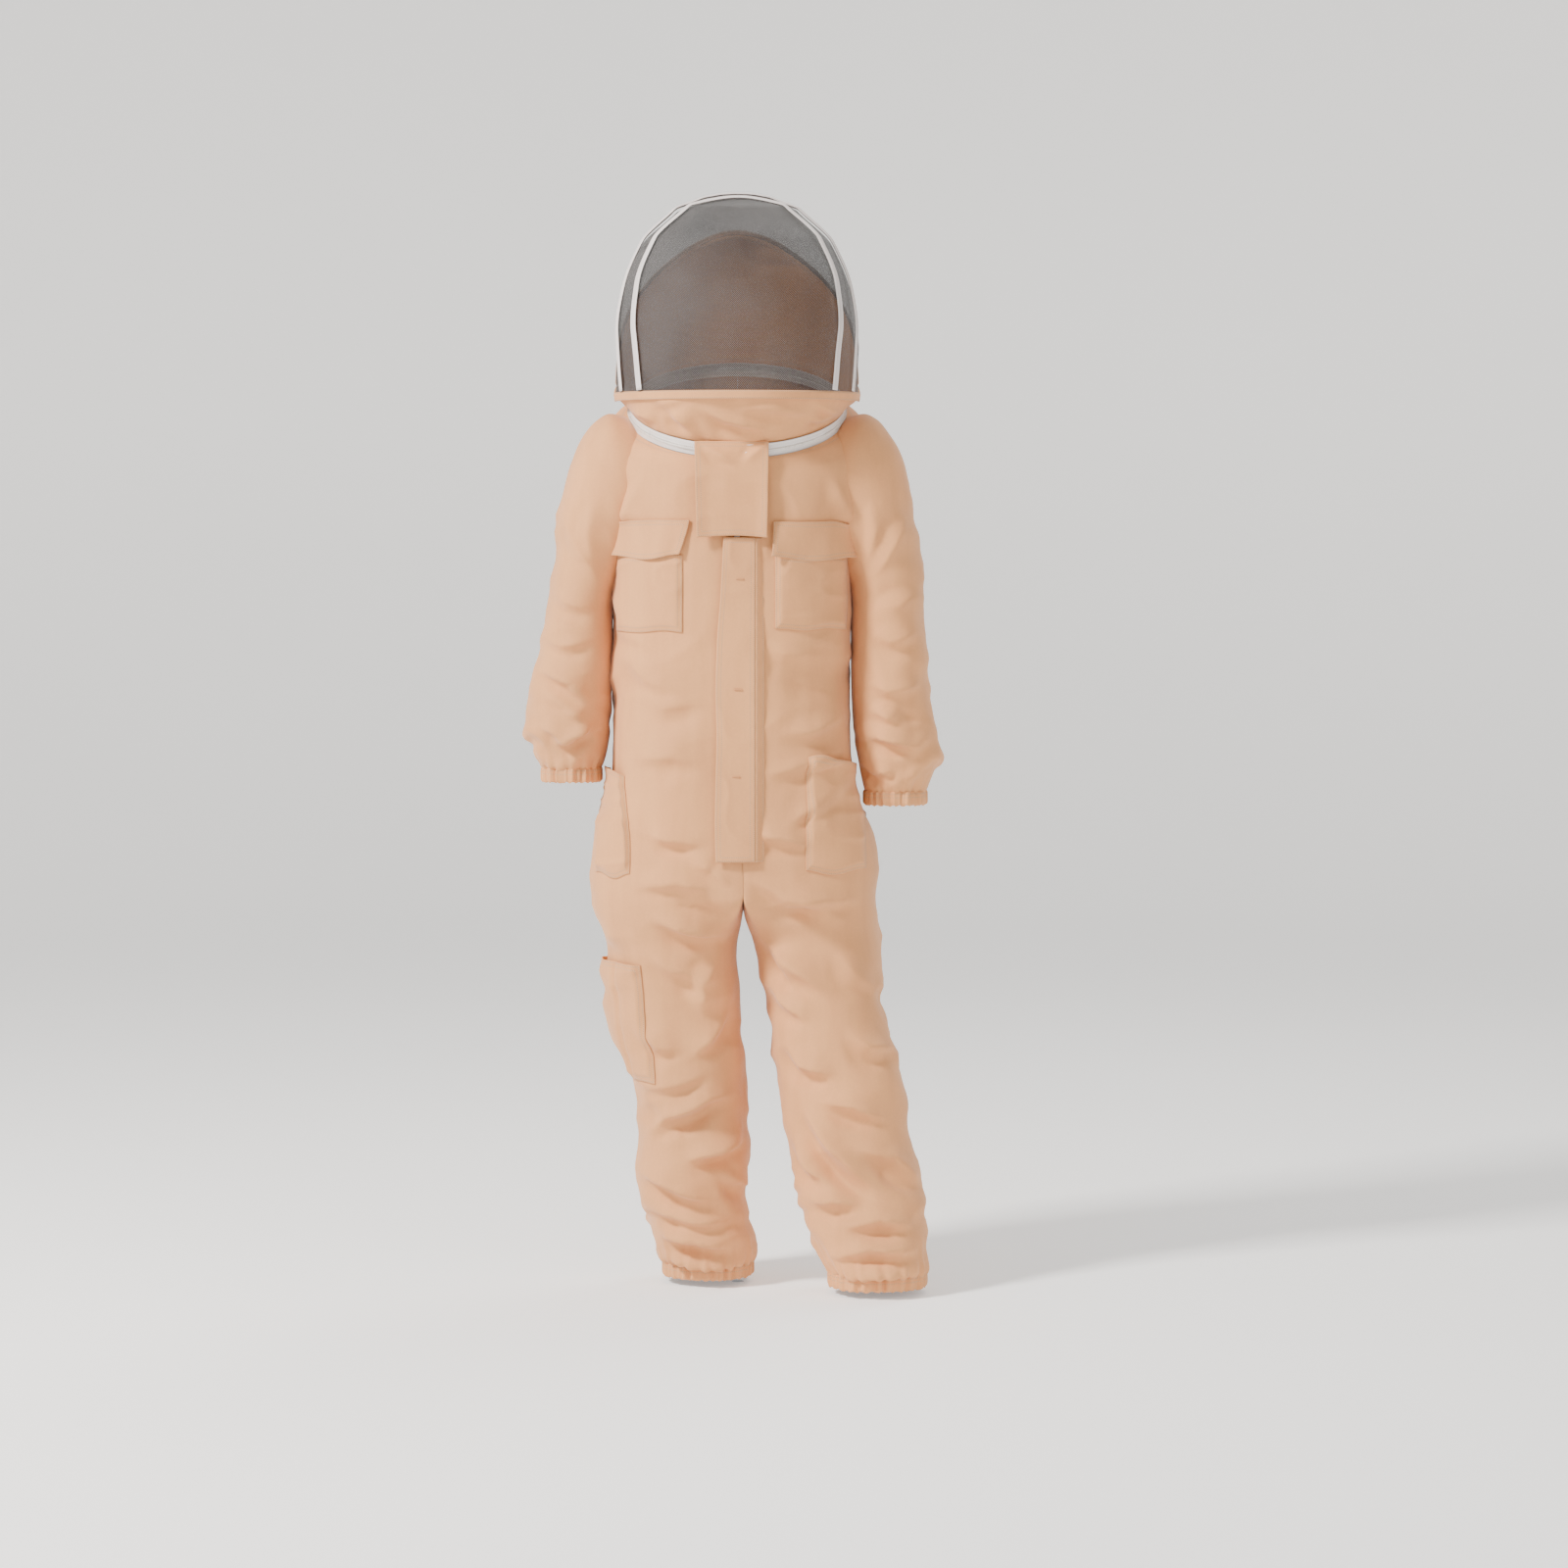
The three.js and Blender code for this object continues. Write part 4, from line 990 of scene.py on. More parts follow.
@dataclass
class Sleeve:
    """One sleeve, from inside its armhole to its gathered cuff."""

    side: int
    name: str
    body: str
    rings: tuple[tuple[float, ...], ...]  # outer x and z, inner x and z, half depth
    folds: tuple[Fold, ...]
    replaced: tuple[str, ...]
    cuff: str
    elastic: str
    columns: int = 76
    rows: int = 150
    fold_depth: float = 1.7

    def cut(self) -> Cloth:
        """The sleeve as a plain tube."""
        table = np.array(self.rings)
        middle = (table[:, [0, 1]] + table[:, [2, 3]]) / 2
        run = np.concatenate([[0], np.cumsum(np.linalg.norm(np.diff(middle, axis=0), axis=1))])
        at = np.linspace(0, run[-1], self.rows)
        rings = through(run, table, at)
        turn = np.linspace(0, math.tau, self.columns, endpoint=False)
        along, deep = squared(np.cos(turn), 2 / 2.15), squared(np.sin(turn), 2 / 2.15)
        grid = np.empty((self.rows, self.columns, 3))
        for k, (ox, oz, ix, iz, depth) in enumerate(rings):
            grid[k, :, 0] = (ox + ix) / 2 + (ox - ix) / 2 * along
            grid[k, :, 2] = (oz + iz) / 2 + (oz - iz) / 2 * along
            grid[k, :, 1] = -depth * deep
        return Cloth(grid, closed=True)

    def fall(self, cloth: Cloth) -> None:
        """Lets the sleeve fold, bunch over its cuff and gather into it."""
        p, normals = cloth.points, cloth.normals
        z = p[..., 2]
        row = np.arange(self.rows)[:, None] / (self.rows - 1)
        free = ease((row - 0.06) / 0.14)
        low = ease((row - 0.62) / 0.25)
        seed = 50 + self.side
        rise = folded(p, normals, self.folds) * self.fold_depth
        rise = rise + creases(p, (0.13, 0.13, 0.075), seed, 0.03) * between(0.003, 0.0042, low) * free
        rise = rise + creases(p, (0.055, 0.055, 0.028), seed + 4, 0.02) * between(0.001, 0.0022, low) * free
        rise = rise + noise(p, 0.15, seed + 9) * 0.004 * free
        bottom = self.rings[-1][1]
        above = z - bottom
        phase = noise(p, (0.07, 0.07, 0.3), seed + 12) * 1.1 + above / 0.036
        rolls = np.exp(-(((above - 0.045) / 0.045) ** 2))
        rise = rise + np.cos(phase * math.tau) * 0.0036 * rolls * (0.7 + 0.3 * noise(p, 0.06, seed))
        angle = np.arctan2(p[..., 1], p[..., 0] - p[..., 0].mean(1, keepdims=True))
        pleat = np.cos(angle * 17 + 2.5 * noise(p, 0.05, seed + 20)) + 0.5 * np.cos(angle * 29 + 0.7)
        rise = rise + pleat * 0.0024 * np.exp(-np.clip(above, 0, 1) / 0.018)
        inner = ease((-(normals[..., 0] * self.side) - 0.2) / 0.5)
        rise = np.where(inner > 0, np.minimum(rise, between(rise, np.minimum(rise, 0.001), inner)), rise)
        cloth.points = p + normals * rise[..., None]
        cloth.points[..., 2] -= np.clip(rise, 0, None) * 0.4 * free * np.clip(above / 0.03, 0, 1)

    def build(self) -> None:
        """Makes the sleeve and its cuff."""
        cloth = self.cut()
        self.fall(cloth)
        made = cloth.mesh(self.name, TWILL)
        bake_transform(made)
        size = {"flat": (0.4, 0.6), "area": 0.185}
        place(made, "", Slot.TWILL, self.replaced, **size, held="hung", rests_on=["back_panel"])
        ring = cloth.points[-1].copy()
        ring[:, 2] = self.rings[-1][1] + 0.0035
        nodes = (self.cuff, self.elastic)
        Casing(self.cuff, self.body, ring, nodes, (0.31, 0.05), seed=7 + self.side).build()


# ------------------------------------------------------------------ patches on the halves


@dataclass
class Patch:
    """Places patches of cloth on a half, by their distance across and their height."""

    half: Half
    cloth: Cloth
    plain: Cloth

    def spots(self, x: Array, z: Array) -> tuple[Array, Array]:
        """Fractional rows and columns of the half at places across and up its front."""
        heights = self.half.heights()
        rows = np.interp(-z, -heights, np.arange(len(heights)))
        columns = np.empty_like(rows)
        reach = int(self.half.outer_columns * 0.5)
        for index, row in np.ndenumerate(rows):
            line = self.plain.points[int(row), :reach, 0] * self.half.side
            top = int(np.argmax(line)) + 1
            columns[index] = np.interp(x[index] * self.half.side, line[:top], np.arange(top))
        return rows, columns

    def lay(self, x: Array, z: Array, height: Array) -> Cloth:
        """A sheet that lies on the half, lifted by a height."""
        rows, columns = self.spots(x, z)
        return directed(Cloth(self.cloth.at(rows, columns, height)), (0, -1, 0))


def framed(columns: int, rows: int) -> tuple[Array, Array]:
    """Shares across and down a patch, closer together near its edges."""
    a, b = np.linspace(0, 1, columns), np.linspace(0, 1, rows)
    u, v = np.meshgrid(a - 0.06 * np.sin(a * math.tau), b - 0.06 * np.sin(b * math.tau))
    return u, v


@dataclass
class Pockets:
    """The chest pockets with their flaps, and the hip pockets."""

    side: int
    patch: Patch
    chest: tuple[float, float, float, float]  # inner, outer, top, bottom
    flap: tuple[float, float, float, float]

    @property
    def word(self) -> str:
        """left or right."""
        return "left" if self.side > 0 else "right"

    def chest_pocket(self) -> None:
        """The patch pocket on the chest: stitched at three edges, a little full in the middle."""
        inner, outer, top, bottom = self.chest
        u, v = framed(40, 42)
        corner = np.clip(v - 0.9, 0, 1) * np.clip(np.abs(u - 0.5) - 0.4, 0, 1) * 0.02
        x = self.side * between(inner, outer, u) - np.sign(u - 0.5) * self.side * corner
        z = between(top, bottom, v) + 0.0015 * np.sin(u * 9 + self.side)
        edge = np.minimum(np.minimum(u, 1 - u) / 0.1, (1 - v) / 0.1)
        flat_at = np.stack([x, z * 0, z], -1)
        full = ease(edge) * (0.0045 + 0.0028 * noise(flat_at, 0.05, 61 + self.side)) * ease((v + 0.35) / 0.6)
        wrinkle = creases(flat_at, (0.05, 0.05, 0.03), 64, 0.01) * 0.0022 * ease(edge * 1.5)
        cloth = self.patch.lay(x, z, 0.0017 + full * 0.8 + wrinkle)
        made = cloth.mesh(f"chest_pocket_{self.word}", TWILL_DOUBLE, 0.0016, inset=0.0022)
        finish_patch(made, "root", (outer - inner, top - bottom))

    def chest_flap(self) -> None:
        """The flap over the chest pocket, its free corners lifting."""
        inner, outer, top, bottom = self.flap
        u, v = framed(46, 26)
        x = self.side * between(inner, outer, u)
        swung = 0.018 if self.side < 0 else 0.0
        x = x + self.side * (v**2 * (u - 0.5) * 0.008 + swung * (1 - u) ** 2 * v**1.6)
        z = between(top, bottom, v) + 0.004 * v * np.cos(u * math.pi * 2) - 0.002
        flat_at = np.stack([x, z * 0, z], -1)
        curl = ease((u - 0.72) / 0.28) * v**1.6 * 0.011 + ease((0.18 - u) / 0.18) * v**2 * 0.004
        wave = 0.0022 * np.sin(u * 8.5 + self.side * 1.3) * v + noise(flat_at, 0.045, 71 + self.side) * 0.0016
        cloth = self.patch.lay(x, z, 0.0082 - 0.004 * (1 - v) + curl + wave)
        made = cloth.mesh(f"chest_flap_{self.word}", TWILL_DOUBLE, 0.0024, inset=0.002)
        finish_patch(made, f"flap_{self.word}", (outer - inner, top - bottom))

    def hip_pocket(self, mouth: tuple[Spot, Spot], low: float, ends: Spot) -> None:
        """The hip pocket: a slanted mouth that gapes, and a full, sagging bag.

        Args:
            mouth: Inner and outer ends of its mouth, across and up.
            low: Height of its bottom edge.
            ends: Its inner and outer edges across, at the bottom.
        """
        u, v = framed(44, 54)
        top_x = between(mouth[0][0], mouth[1][0], u)
        top_z = between(mouth[0][1], mouth[1][1], u) + 0.006 * np.sin(u * math.pi)
        x = between(top_x, between(ends[0], ends[1], u), ease(v * 1.6))
        z = between(top_z, low + 0.004 * np.cos(u * 7), v)
        edge = np.minimum(np.minimum(u, 1 - u) / 0.12, (1 - v) / 0.08)
        flat_at = np.stack([x, z * 0, z], -1)
        gape = np.exp(-((v / 0.1) ** 2)) * 0.006 * np.sin(u * math.pi) ** 1.4
        full = ease(edge) * (0.0065 + 0.0035 * noise(flat_at, 0.06, 81 + self.side)) + gape
        wrinkle = creases(flat_at, (0.07, 0.07, 0.03), 84 + self.side, 0.015) * 0.004 * ease(edge * 1.2)
        cloth = self.patch.lay(x, z, 0.0015 + full * 0.8 + wrinkle)
        made = cloth.mesh(f"hip_pocket_{self.word}", TWILL_DOUBLE, 0.0016, inset=0.0024)
        size = (abs(ends[1] - ends[0]) * 1.12, abs(mouth[0][1] - low))
        finish_patch(made, "root", size)


def finish_patch(made: Piece, body: str, shape: Spot) -> None:
    """Places a sewn-on patch, whose flat size has this shape and its cloth's own area."""
    whole = sum(face.area for face in made.data.polygons)
    scale = (whole / (shape[0] * shape[1])) ** 0.5
    flat = (shape[0] * scale, shape[1] * scale)
    node = [made.name.removesuffix("_sewn")]
    place(made, body, Slot.TWILL, node, flat=flat, held="hung", rests_on=node)


@dataclass
class ToolPocket:
    """The long pocket on the outside of the right leg."""

    half: Half
    cloth: Cloth
    top: float = -0.846
    bottom: float = -1.028
    columns: tuple[float, float] = (36.0, 68.0)

    def build(self) -> None:
        """Makes the pocket, sewn round three edges and stitched down its middle."""
        u, v = framed(44, 60)
        heights = self.half.heights()
        z = between(self.top + 0.006 * (u - 0.5), self.bottom, v)
        rows = np.interp(-z, -heights, np.arange(len(heights)))
        columns = between(self.columns[0], self.columns[1], u)
        edge = np.minimum(np.minimum(u, 1 - u) / 0.1, (1 - v) / 0.07)
        divide = 1 - 0.8 * np.exp(-(((u - 0.42) / 0.035) ** 2))
        flat_at = self.cloth.at(rows, columns)
        full = ease(edge) * divide * (0.0055 + 0.003 * noise(flat_at, 0.05, 91))
        wrinkle = creases(flat_at, (0.07, 0.07, 0.03), 94, 0.012) * 0.003 * ease(edge)
        bag = directed(Cloth(self.cloth.at(rows, columns, 0.0018 + full + wrinkle)), (-1, -0.4, 0))
        made = bag.mesh("tool_pocket", TWILL_DOUBLE, 0.0016, inset=0.0024)
        self.half.bend(made)
        nodes = ["tool_pocket"]
        place(made, "", Slot.TWILL, nodes, flat=(0.15, 0.18), held="hung", rests_on=nodes)


# ------------------------------------------------------------------ neck ring and zips


def neck_point(degrees: Array, out: Array | float = 0.0, up: Array | float = 0.0) -> Array:
    """Points round the neck ring, out from it and up along its axis, all in metres."""
    a = np.radians(degrees)
    front = np.array([0.0, -math.cos(NECK_TILT), -math.sin(NECK_TILT)])
    way = np.cos(a)[..., None] * front + np.sin(a)[..., None] * np.array([1.0, 0, 0])
    reach = (NECK_RADIUS + np.asarray(out, float))[..., None] if np.ndim(out) else NECK_RADIUS + out
    lift = np.asarray(up, float)[..., None] if np.ndim(up) else up
    return np.array([0.0, MIDDLE_Y, 0.0]) + way * reach + NECK_AXIS * lift


def neck_band(name: str, low: float, high: float, body: str, seed: int) -> None:
    """One woven tape of the neck zip, a little wavy where it is sewn on.

    Args:
        name: The tape's name, which is its CAD node's too.
        low: Its lower edge along the neck's axis.
        high: Its upper edge.
        body: The body that it rides on.
        seed: Which wave.
    """
    columns, rows = 300, 9
    turn = np.linspace(0, 360, columns, endpoint=False)
    grid = []
    for k in range(rows):
        share = k / (rows - 1)
        spot = np.stack([np.sin(np.radians(turn)), np.cos(np.radians(turn)), np.zeros(columns)], -1)
        wave = noise(spot, 0.16, seed) * 0.0009 + noise(spot, 0.05, seed + 1) * 0.0004
        upper = name.startswith("neck_zip_upper")
        outer = share if upper else 1 - share
        clear = 0.0018 * np.exp(-(((turn - 180) / 14) ** 2)) * upper  # room for the hood to swing back
        up = between(high, low + clear, share) + wave * 0.4 * outer
        grid.append(neck_point(turn, 0.0012 + wave * outer, up))
    made = Cloth(np.array(grid), closed=True).mesh(name, WHITE_TAPE, 0.0009, inset=0.0022)
    flat = (1.05, abs(high - low))
    place(made, body, Slot.TAPE, [name], flat=flat, held="stretched", rests_on=[name])


def teeth(places: Array, ways: Array, outs: Array, size: Point) -> tuple[Array, list[list[int]]]:
    """Many zip teeth, each a block with chamfered ends.

    Args:
        places: The teeth's middles.
        ways: Unit directions that the teeth point in.
        outs: Unit directions out of the zip.
        size: A tooth's length, width along the zip and height.

    Returns:
        Points and faces.
    """
    length, width, height = (s / 2 for s in size)
    shape = []
    for end, shrink in ((-length, 0.75), (-length * 0.6, 1.0), (length * 0.7, 1.0), (length, 0.6)):
        for side, top in ((-1, -1), (1, -1), (1, 1), (-1, 1)):
            shape.append((end, side * width * shrink, top * height * shrink))
    block = np.array(shape)
    sides = np.cross(outs, ways)
    points = (
        places[:, None]
        + block[None, :, 0, None] * ways[:, None]
        + block[None, :, 1, None] * sides[:, None]
        + block[None, :, 2, None] * outs[:, None]
    )
    faces: list[list[int]] = []
    for k in range(len(places)):
        base = 16 * k
        faces.append([base + 3, base + 2, base + 1, base])
        faces.append([base + 12, base + 13, base + 14, base + 15])
        for ring in range(3):
            for corner in range(4):
                a, b = base + ring * 4 + corner, base + ring * 4 + (corner + 1) % 4
                faces.append([a, b, b + 4, a + 4])
    return points.reshape(-1, 3), faces


def neck_teeth(name: str, up: float, point: float, body: str) -> None:
    """One row of the neck zip's teeth, on its own tape."""
    count = 330
    turn = (np.arange(count) + (0.5 if point > 0 else 0.0)) * 360 / count
    places = neck_point(turn, 0.0022, up)
    outs = neck_point(turn, 1.0) - neck_point(turn, 0.0)
    points, faces = teeth(places, np.tile(NECK_AXIS * point, (count, 1)), outs, (0.003, 0.0017, 0.0019))
    place(solid(name, points, faces, ZIP_TEETH, smooth=False), body, Slot.ZIP)


@dataclass
class MainZip:
    """The long front zip: two tapes and its meshed teeth."""

    low: float = -0.662
    high: float = -0.093
    face: float = -0.1338

    def tape(self, side: int) -> None:
        """One tape, behind the edge of its front panel."""
        word = "left" if side > 0 else "right"
        u, v = np.meshgrid(np.linspace(0, 1, 7), np.linspace(0, 1, 160))
        x = side * between(0.0012, 0.018, u)
        z = between(self.high, self.low, v)
        y = self.face + 0.0016 + 0.0003 * np.sin(v * 70 + side) + 0.0006 * u
        cloth = directed(Cloth(np.stack([x, y, z], -1)), (0, -1, 0))
        node = f"main_zip_tape_{word}"
        made = cloth.mesh(node, WHITE_TAPE, 0.0007, inset=0.003)
        place(made, "root", Slot.TAPE, [node], flat=(0.0168, 0.569), held="hung", rests_on=[node])

    def chain(self) -> None:
        """The meshed teeth."""
        pitch = 0.0025
        count = int((self.high - self.low) / pitch)
        z = self.high - (np.arange(count) + 0.5) * pitch
        side = np.where(np.arange(count) % 2, 1.0, -1.0)
        places = np.stack([side * 0.001, np.full(count, self.face), z], -1)
        ways = np.stack([-side, np.zeros(count), np.zeros(count)], -1)
        outs = np.tile([0.0, -1.0, 0.0], (count, 1))
        points, faces = teeth(places, ways, outs, (0.0048, 0.0021, 0.0022))
        made = solid("main_zip_chain", points, faces, ZIP_TEETH, smooth=False)
        place(made, "root", Slot.ZIP, ["main_zip_chain"])

    def build(self) -> None:
        """Makes the zip."""
        self.tape(1)
        self.tape(-1)
        self.chain()
        up, out = (0, 0, 1), (0, -1, 0)
        slider("main_zip_slider", "main_slider", (0, self.face, -0.102), up, out)
        pull("main_zip_pull", "main_slider", (0, self.face - 0.004, -0.1035), up, out, ["main_zip_pull"])


def outline_slab(
    name: str, origin: Point, up: Point, out: Point, line: Sequence[Spot], low: float, high: float,
    hole: Sequence[Spot] = (),
) -> Piece:
    """A flat moulded plate with rounded edges.

    Args:
        name: Its name.
        origin: Where its outline's zero lies.
        up: Unit direction along the plate.
        out: Unit direction out of its face.
        line: Its outline, across and up.
        low: Height of its back above the origin.
        high: Height of its face.
        hole: The outline of a hole, with as many points as the plate's.

    Returns:
        The plate.
    """
    up_way, out_way = np.array(up, float), np.array(out, float)
    across = np.cross(up_way, out_way)
    shape = np.array(line)
    inward = shape - shape.mean(axis=0)
    inward /= np.linalg.norm(inward, axis=1, keepdims=True)
    bevel = min(0.0004, (high - low) * 0.3)
    levels = [(low, bevel), (low + bevel, 0.0), (high - bevel, 0.0), (high, bevel)]
    rings = [(shape - inward * shrink, level) for level, shrink in levels]
    if hole:
        inside = np.array(hole)
        rings += [(inside, high), (inside, low)]
    count = len(shape)
    points = np.concatenate(
        [np.array(origin) + r[:, :1] * across + r[:, 1:] * up_way + level * out_way for r, level in rings]
    )
    faces: list[list[int]] = []
    closes = len(rings) if hole else len(rings) - 1
    for k in range(closes):
        nxt = (k + 1) % len(rings)
        for j in range(count):
            m = (j + 1) % count
            faces.append([k * count + j, k * count + m, nxt * count + m, nxt * count + j])
    if not hole:
        faces.append(list(range(count))[::-1])
        faces.append([3 * count + j for j in range(count)])
    made = solid(name, points, faces, ZIP_TEETH, smooth=False)
    work = made.modifiers.new("edges", "BEVEL")
    work.width, work.segments, work.limit_method = 0.0002, 2, "ANGLE"
    return made


def slider(name: str, body: str, origin: Point, up: Point, out: Point) -> None:
    """A zip slider: a waisted plate with a bridge for its pull."""
    line = []
    for k in range(32):
        a = k * math.tau / 32
        y = math.cos(a) * 0.0078
        x = math.sin(a) * (0.005 + 0.0009 * math.cos(2 * a)) * (1.0 - 0.16 * math.cos(a))
        line.append((x, y))
    place(outline_slab(name, origin, up, out, line, 0.0004, 0.0024), body, Slot.ZIP, [name])
    up_way, out_way = np.array(up, float), np.array(out, float)
    across = np.cross(up_way, out_way)
    points, rows = [], 13
    for k in range(rows):
        share = k / (rows - 1)
        middle = np.array(origin) + up_way * between(-0.0045, 0.0045, share)
        middle = middle + out_way * (0.0022 + 0.0022 * math.sin(share * math.pi) ** 0.6)
        for j in range(8):
            a = j * math.tau / 8
            points.append(middle + across * 0.0011 * math.cos(a) + out_way * 0.0007 * math.sin(a))
    faces = [
        [k * 8 + j, k * 8 + (j + 1) % 8, (k + 1) * 8 + (j + 1) % 8, (k + 1) * 8 + j]
        for k in range(rows - 1)
        for j in range(8)
    ]
    faces += [list(range(8))[::-1], [(rows - 1) * 8 + j for j in range(8)]]
    place(solid(f"{name}_bridge", np.array(points), faces, ZIP_TEETH), body, Slot.ZIP)


def pull(name: str, body: str, origin: Point, up: Point, out: Point, nodes: Sequence[str] = ()) -> None:
    """A zip's pull: a long rounded tag with a hole at its end."""
    outer, inner = [], []
    for k in range(32):
        a = k * math.tau / 32
        x, y = math.sin(a), math.cos(a)
        outer.append((0.0032 * squared(x, 0.8), -0.0125 + 0.0135 * squared(y, 0.7)))
        inner.append((0.0014 * x, -0.0205 + 0.0032 * y))
    place(outline_slab(name, origin, up, out, outer, 0.0, 0.0013, inner), body, Slot.ZIP, nodes)


@dataclass
class NeckZip:
    """The zip that joins the hood to the suit: two tapes, two rows of teeth and two sliders."""

    slider_angle: float = 12.0

    def build(self) -> None:
        """Makes the neck zip."""
        neck_band("neck_zip_lower_tape", -0.0112, -0.0012, "root", 3)
        neck_band("neck_zip_upper_tape", 0.0012, 0.0112, "hood", 5)
        neck_teeth("neck_zip_lower_teeth", -0.0006, 1.0, "root")
        neck_teeth("neck_zip_upper_teeth", 0.0006, -1.0, "hood")
        for side, word in ((1, "left"), (-1, "right")):
            degrees = np.array(self.slider_angle * side)
            spot = neck_point(degrees, 0.0022)
            out = neck_point(degrees, 1.0) - neck_point(degrees, 0.0)
            along = np.cross(NECK_AXIS, out) * side
            body, node = f"neck_slider_{word}", f"neck_zip_slider_{word}"
            slider(node, body, tuple(spot), tuple(along), tuple(out))
            tag = spot + out * 0.0034 + along * 0.001
            pull(f"{node}_pull", body, tuple(tag), tuple(along), tuple(out))


# ------------------------------------------------------------------ placket and tab


@dataclass
class Placket:
    """The storm flap over the main zip, hinged at its stitched edge."""

    face: float = -0.1424
    hinge: float = 0.028
    top: float = -0.1988
    bottom: float = -0.6895

    def free_edge(self, z: Array) -> Array:
        """Where the free edge hangs, across, at each height."""
        knots = [-0.2, -0.285, -0.36, -0.43, -0.5, -0.58, -0.64, -0.69]
        return through(knots, [-0.0205, -0.025, -0.0305, -0.0325, -0.0312, -0.033, -0.0338, -0.0325], z)

    def build(self) -> None:
        """Makes the flap, its stitched edge and its bar tacks."""
        u, v = np.meshgrid(np.linspace(0, 1, 22), np.linspace(0, 1, 170))
        z = between(self.top, self.bottom, v)
        x = between(self.hinge, self.free_edge(z), u)
        flat_at = np.stack([x, z * 0, z], -1)
        free = u**1.5
        y = self.face + 0.0012 - 0.0014 * free + 0.0022 * free * noise(flat_at, (0.2, 1, 0.055), 7)
        y = y - creases(flat_at, (0.05, 1, 0.045), 9, 0.01) * 0.0018 * ease(u * 3)
        y = y - 0.0008 * np.sin(u * math.pi)
        cloth = directed(Cloth(np.stack([x, y, z], -1)), (0, -1, 0))
        made = cloth.mesh("placket", TWILL_DOUBLE, 0.0012, inset=0.0022)
        finish_patch(made, "placket_flap", (0.06, 0.489))
        s, w = np.meshgrid(np.linspace(0, 1, 10), np.linspace(0, 1, 170))
        z = between(self.top, self.bottom, w)
        x = between(self.hinge + 0.0004, 0.0415, s)
        y = between(self.face + 0.0012, -0.1333, ease(s) ** 0.9) + 0.0003 * np.sin(w * 90)
        strip = directed(Cloth(np.stack([x, y, z], -1)), (0, -1, 0))
        seam = strip.mesh("placket_seam", TWILL_SEWN, 0.0014, inset=0.002)
        finish_patch(seam, "root", (0.0148, 0.489))
        for k, height in enumerate((-0.262, -0.428, -0.56)):
            self.tack(k, height)

    def tack(self, number: int, height: float) -> None:
        """A bar tack: a short, dense row of thread across the flap."""
        points, faces = [], []
        for k in range(13):
            x = 0.0045 - 0.006 * number / 2 + (k - 6) * 0.00095
            base = len(points)
            for j in range(6):
                a = j * math.tau / 6
                across, out = x + 0.00042 * math.cos(a), self.face - 0.0008 + 0.0004 * math.sin(a)
                points += [(across, out, height + end * 0.0013) for end in (-1, 1)]
            for j in range(6):
                m = (j + 1) % 6
                faces.append([base + 2 * j, base + 2 * m, base + 2 * m + 1, base + 2 * j + 1])
            faces.append([base + 2 * j for j in range(6)][::-1])
            faces.append([base + 2 * j + 1 for j in range(6)])
        made = solid(f"placket_tack_{number + 1}", np.array(points), faces, TWILL_SEWN)
        place(made, "placket_flap", Slot.TWILL)


@dataclass
class NeckTab:
    """The tab that hangs from the hood over the neck zip's ends, with its fastener pads."""

    left: float = 0.048
    right: float = -0.064
    top: float = -0.0545
    bottom: float = -0.1995
    face: float = -0.1447

    def build(self) -> None:
        """Makes the tab and the four pads."""
        u, v = framed(40, 46)
        x = between(self.left, self.right, u) * between(1.0, 0.95, v)
        z = between(self.top, self.bottom, v) + 0.003 * np.sin(u * math.pi) * v
        spots = np.stack([x, z * 0, z], -1)
        folds = drawn(
            (6.5, 5, 0.9, (-60, -52), (-28, -74), (6, -94)),
            (6.5, 4.4, 0.8, (50, -52), (30, -70), (4, -90)),
            (11, 2.2, 0.6, (-52, -120), (-20, -128), (30, -150)),
        )
        still = np.zeros((*x.shape, 3))
        still[..., 1] = -1.0
        rise = folded(spots, still, folds) + 0.0016 * np.sin(v * 6 + u * 3) * v
        rise = rise + creases(spots, (0.06, 1, 0.05), 15, 0.01) * 0.0022
        rise = rise + noise(spots, (0.06, 1, 0.08), 17) * 0.0016
        curl = (ease((u - 0.8) / 0.2) + ease((0.2 - u) / 0.2)) * v**2 * 0.003
        lip = 0.0045 * np.exp(-((v / 0.1) ** 2))
        y = self.face - rise - curl - 0.0012 + lip
        cloth = directed(Cloth(np.stack([x, y, z], -1)), (0, -1, 0))
        made = cloth.mesh("neck_tab", TWILL_DOUBLE, 0.0019, inset=0.0026)
        finish_patch(made, "tab", (0.112, 0.145))
        for word in ("left", "right"):
            self.pad(f"tab_hook_pad_{word}", "tab")
            self.pad(f"tab_loop_pad_{word}", "root")

    def pad(self, name: str, body: str) -> None:
        """One half of a hook-and-loop fastener, a low cushion of pile that fills its CAD pad."""
        low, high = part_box(name)
        u, v = np.meshgrid(np.linspace(0, 1, 16), np.linspace(0, 1, 26))
        x, z = between(low[0] + 0.0004, high[0] - 0.0004, u), between(low[2], high[2], v)
        rim = np.minimum(np.minimum(u, 1 - u) * (high[0] - low[0]), np.minimum(v, 1 - v) * (high[2] - low[2]))
        base, top = (high[1], low[1] + 0.0006) if body == "tab" else (high[1] - 0.0008, low[1])
        y = between(base, top, ease(rim / 0.0025))
        cloth = directed(Cloth(np.stack([x, y, z], -1)), (0, -1, 0))
        made = cloth.mesh(name, PILE, 0.0006, inset=0.0016)
        place(made, body, Slot.HOOK, [name], flat=(0.025, 0.051), held="laid", rests_on=[name])


# ------------------------------------------------------------------ hood


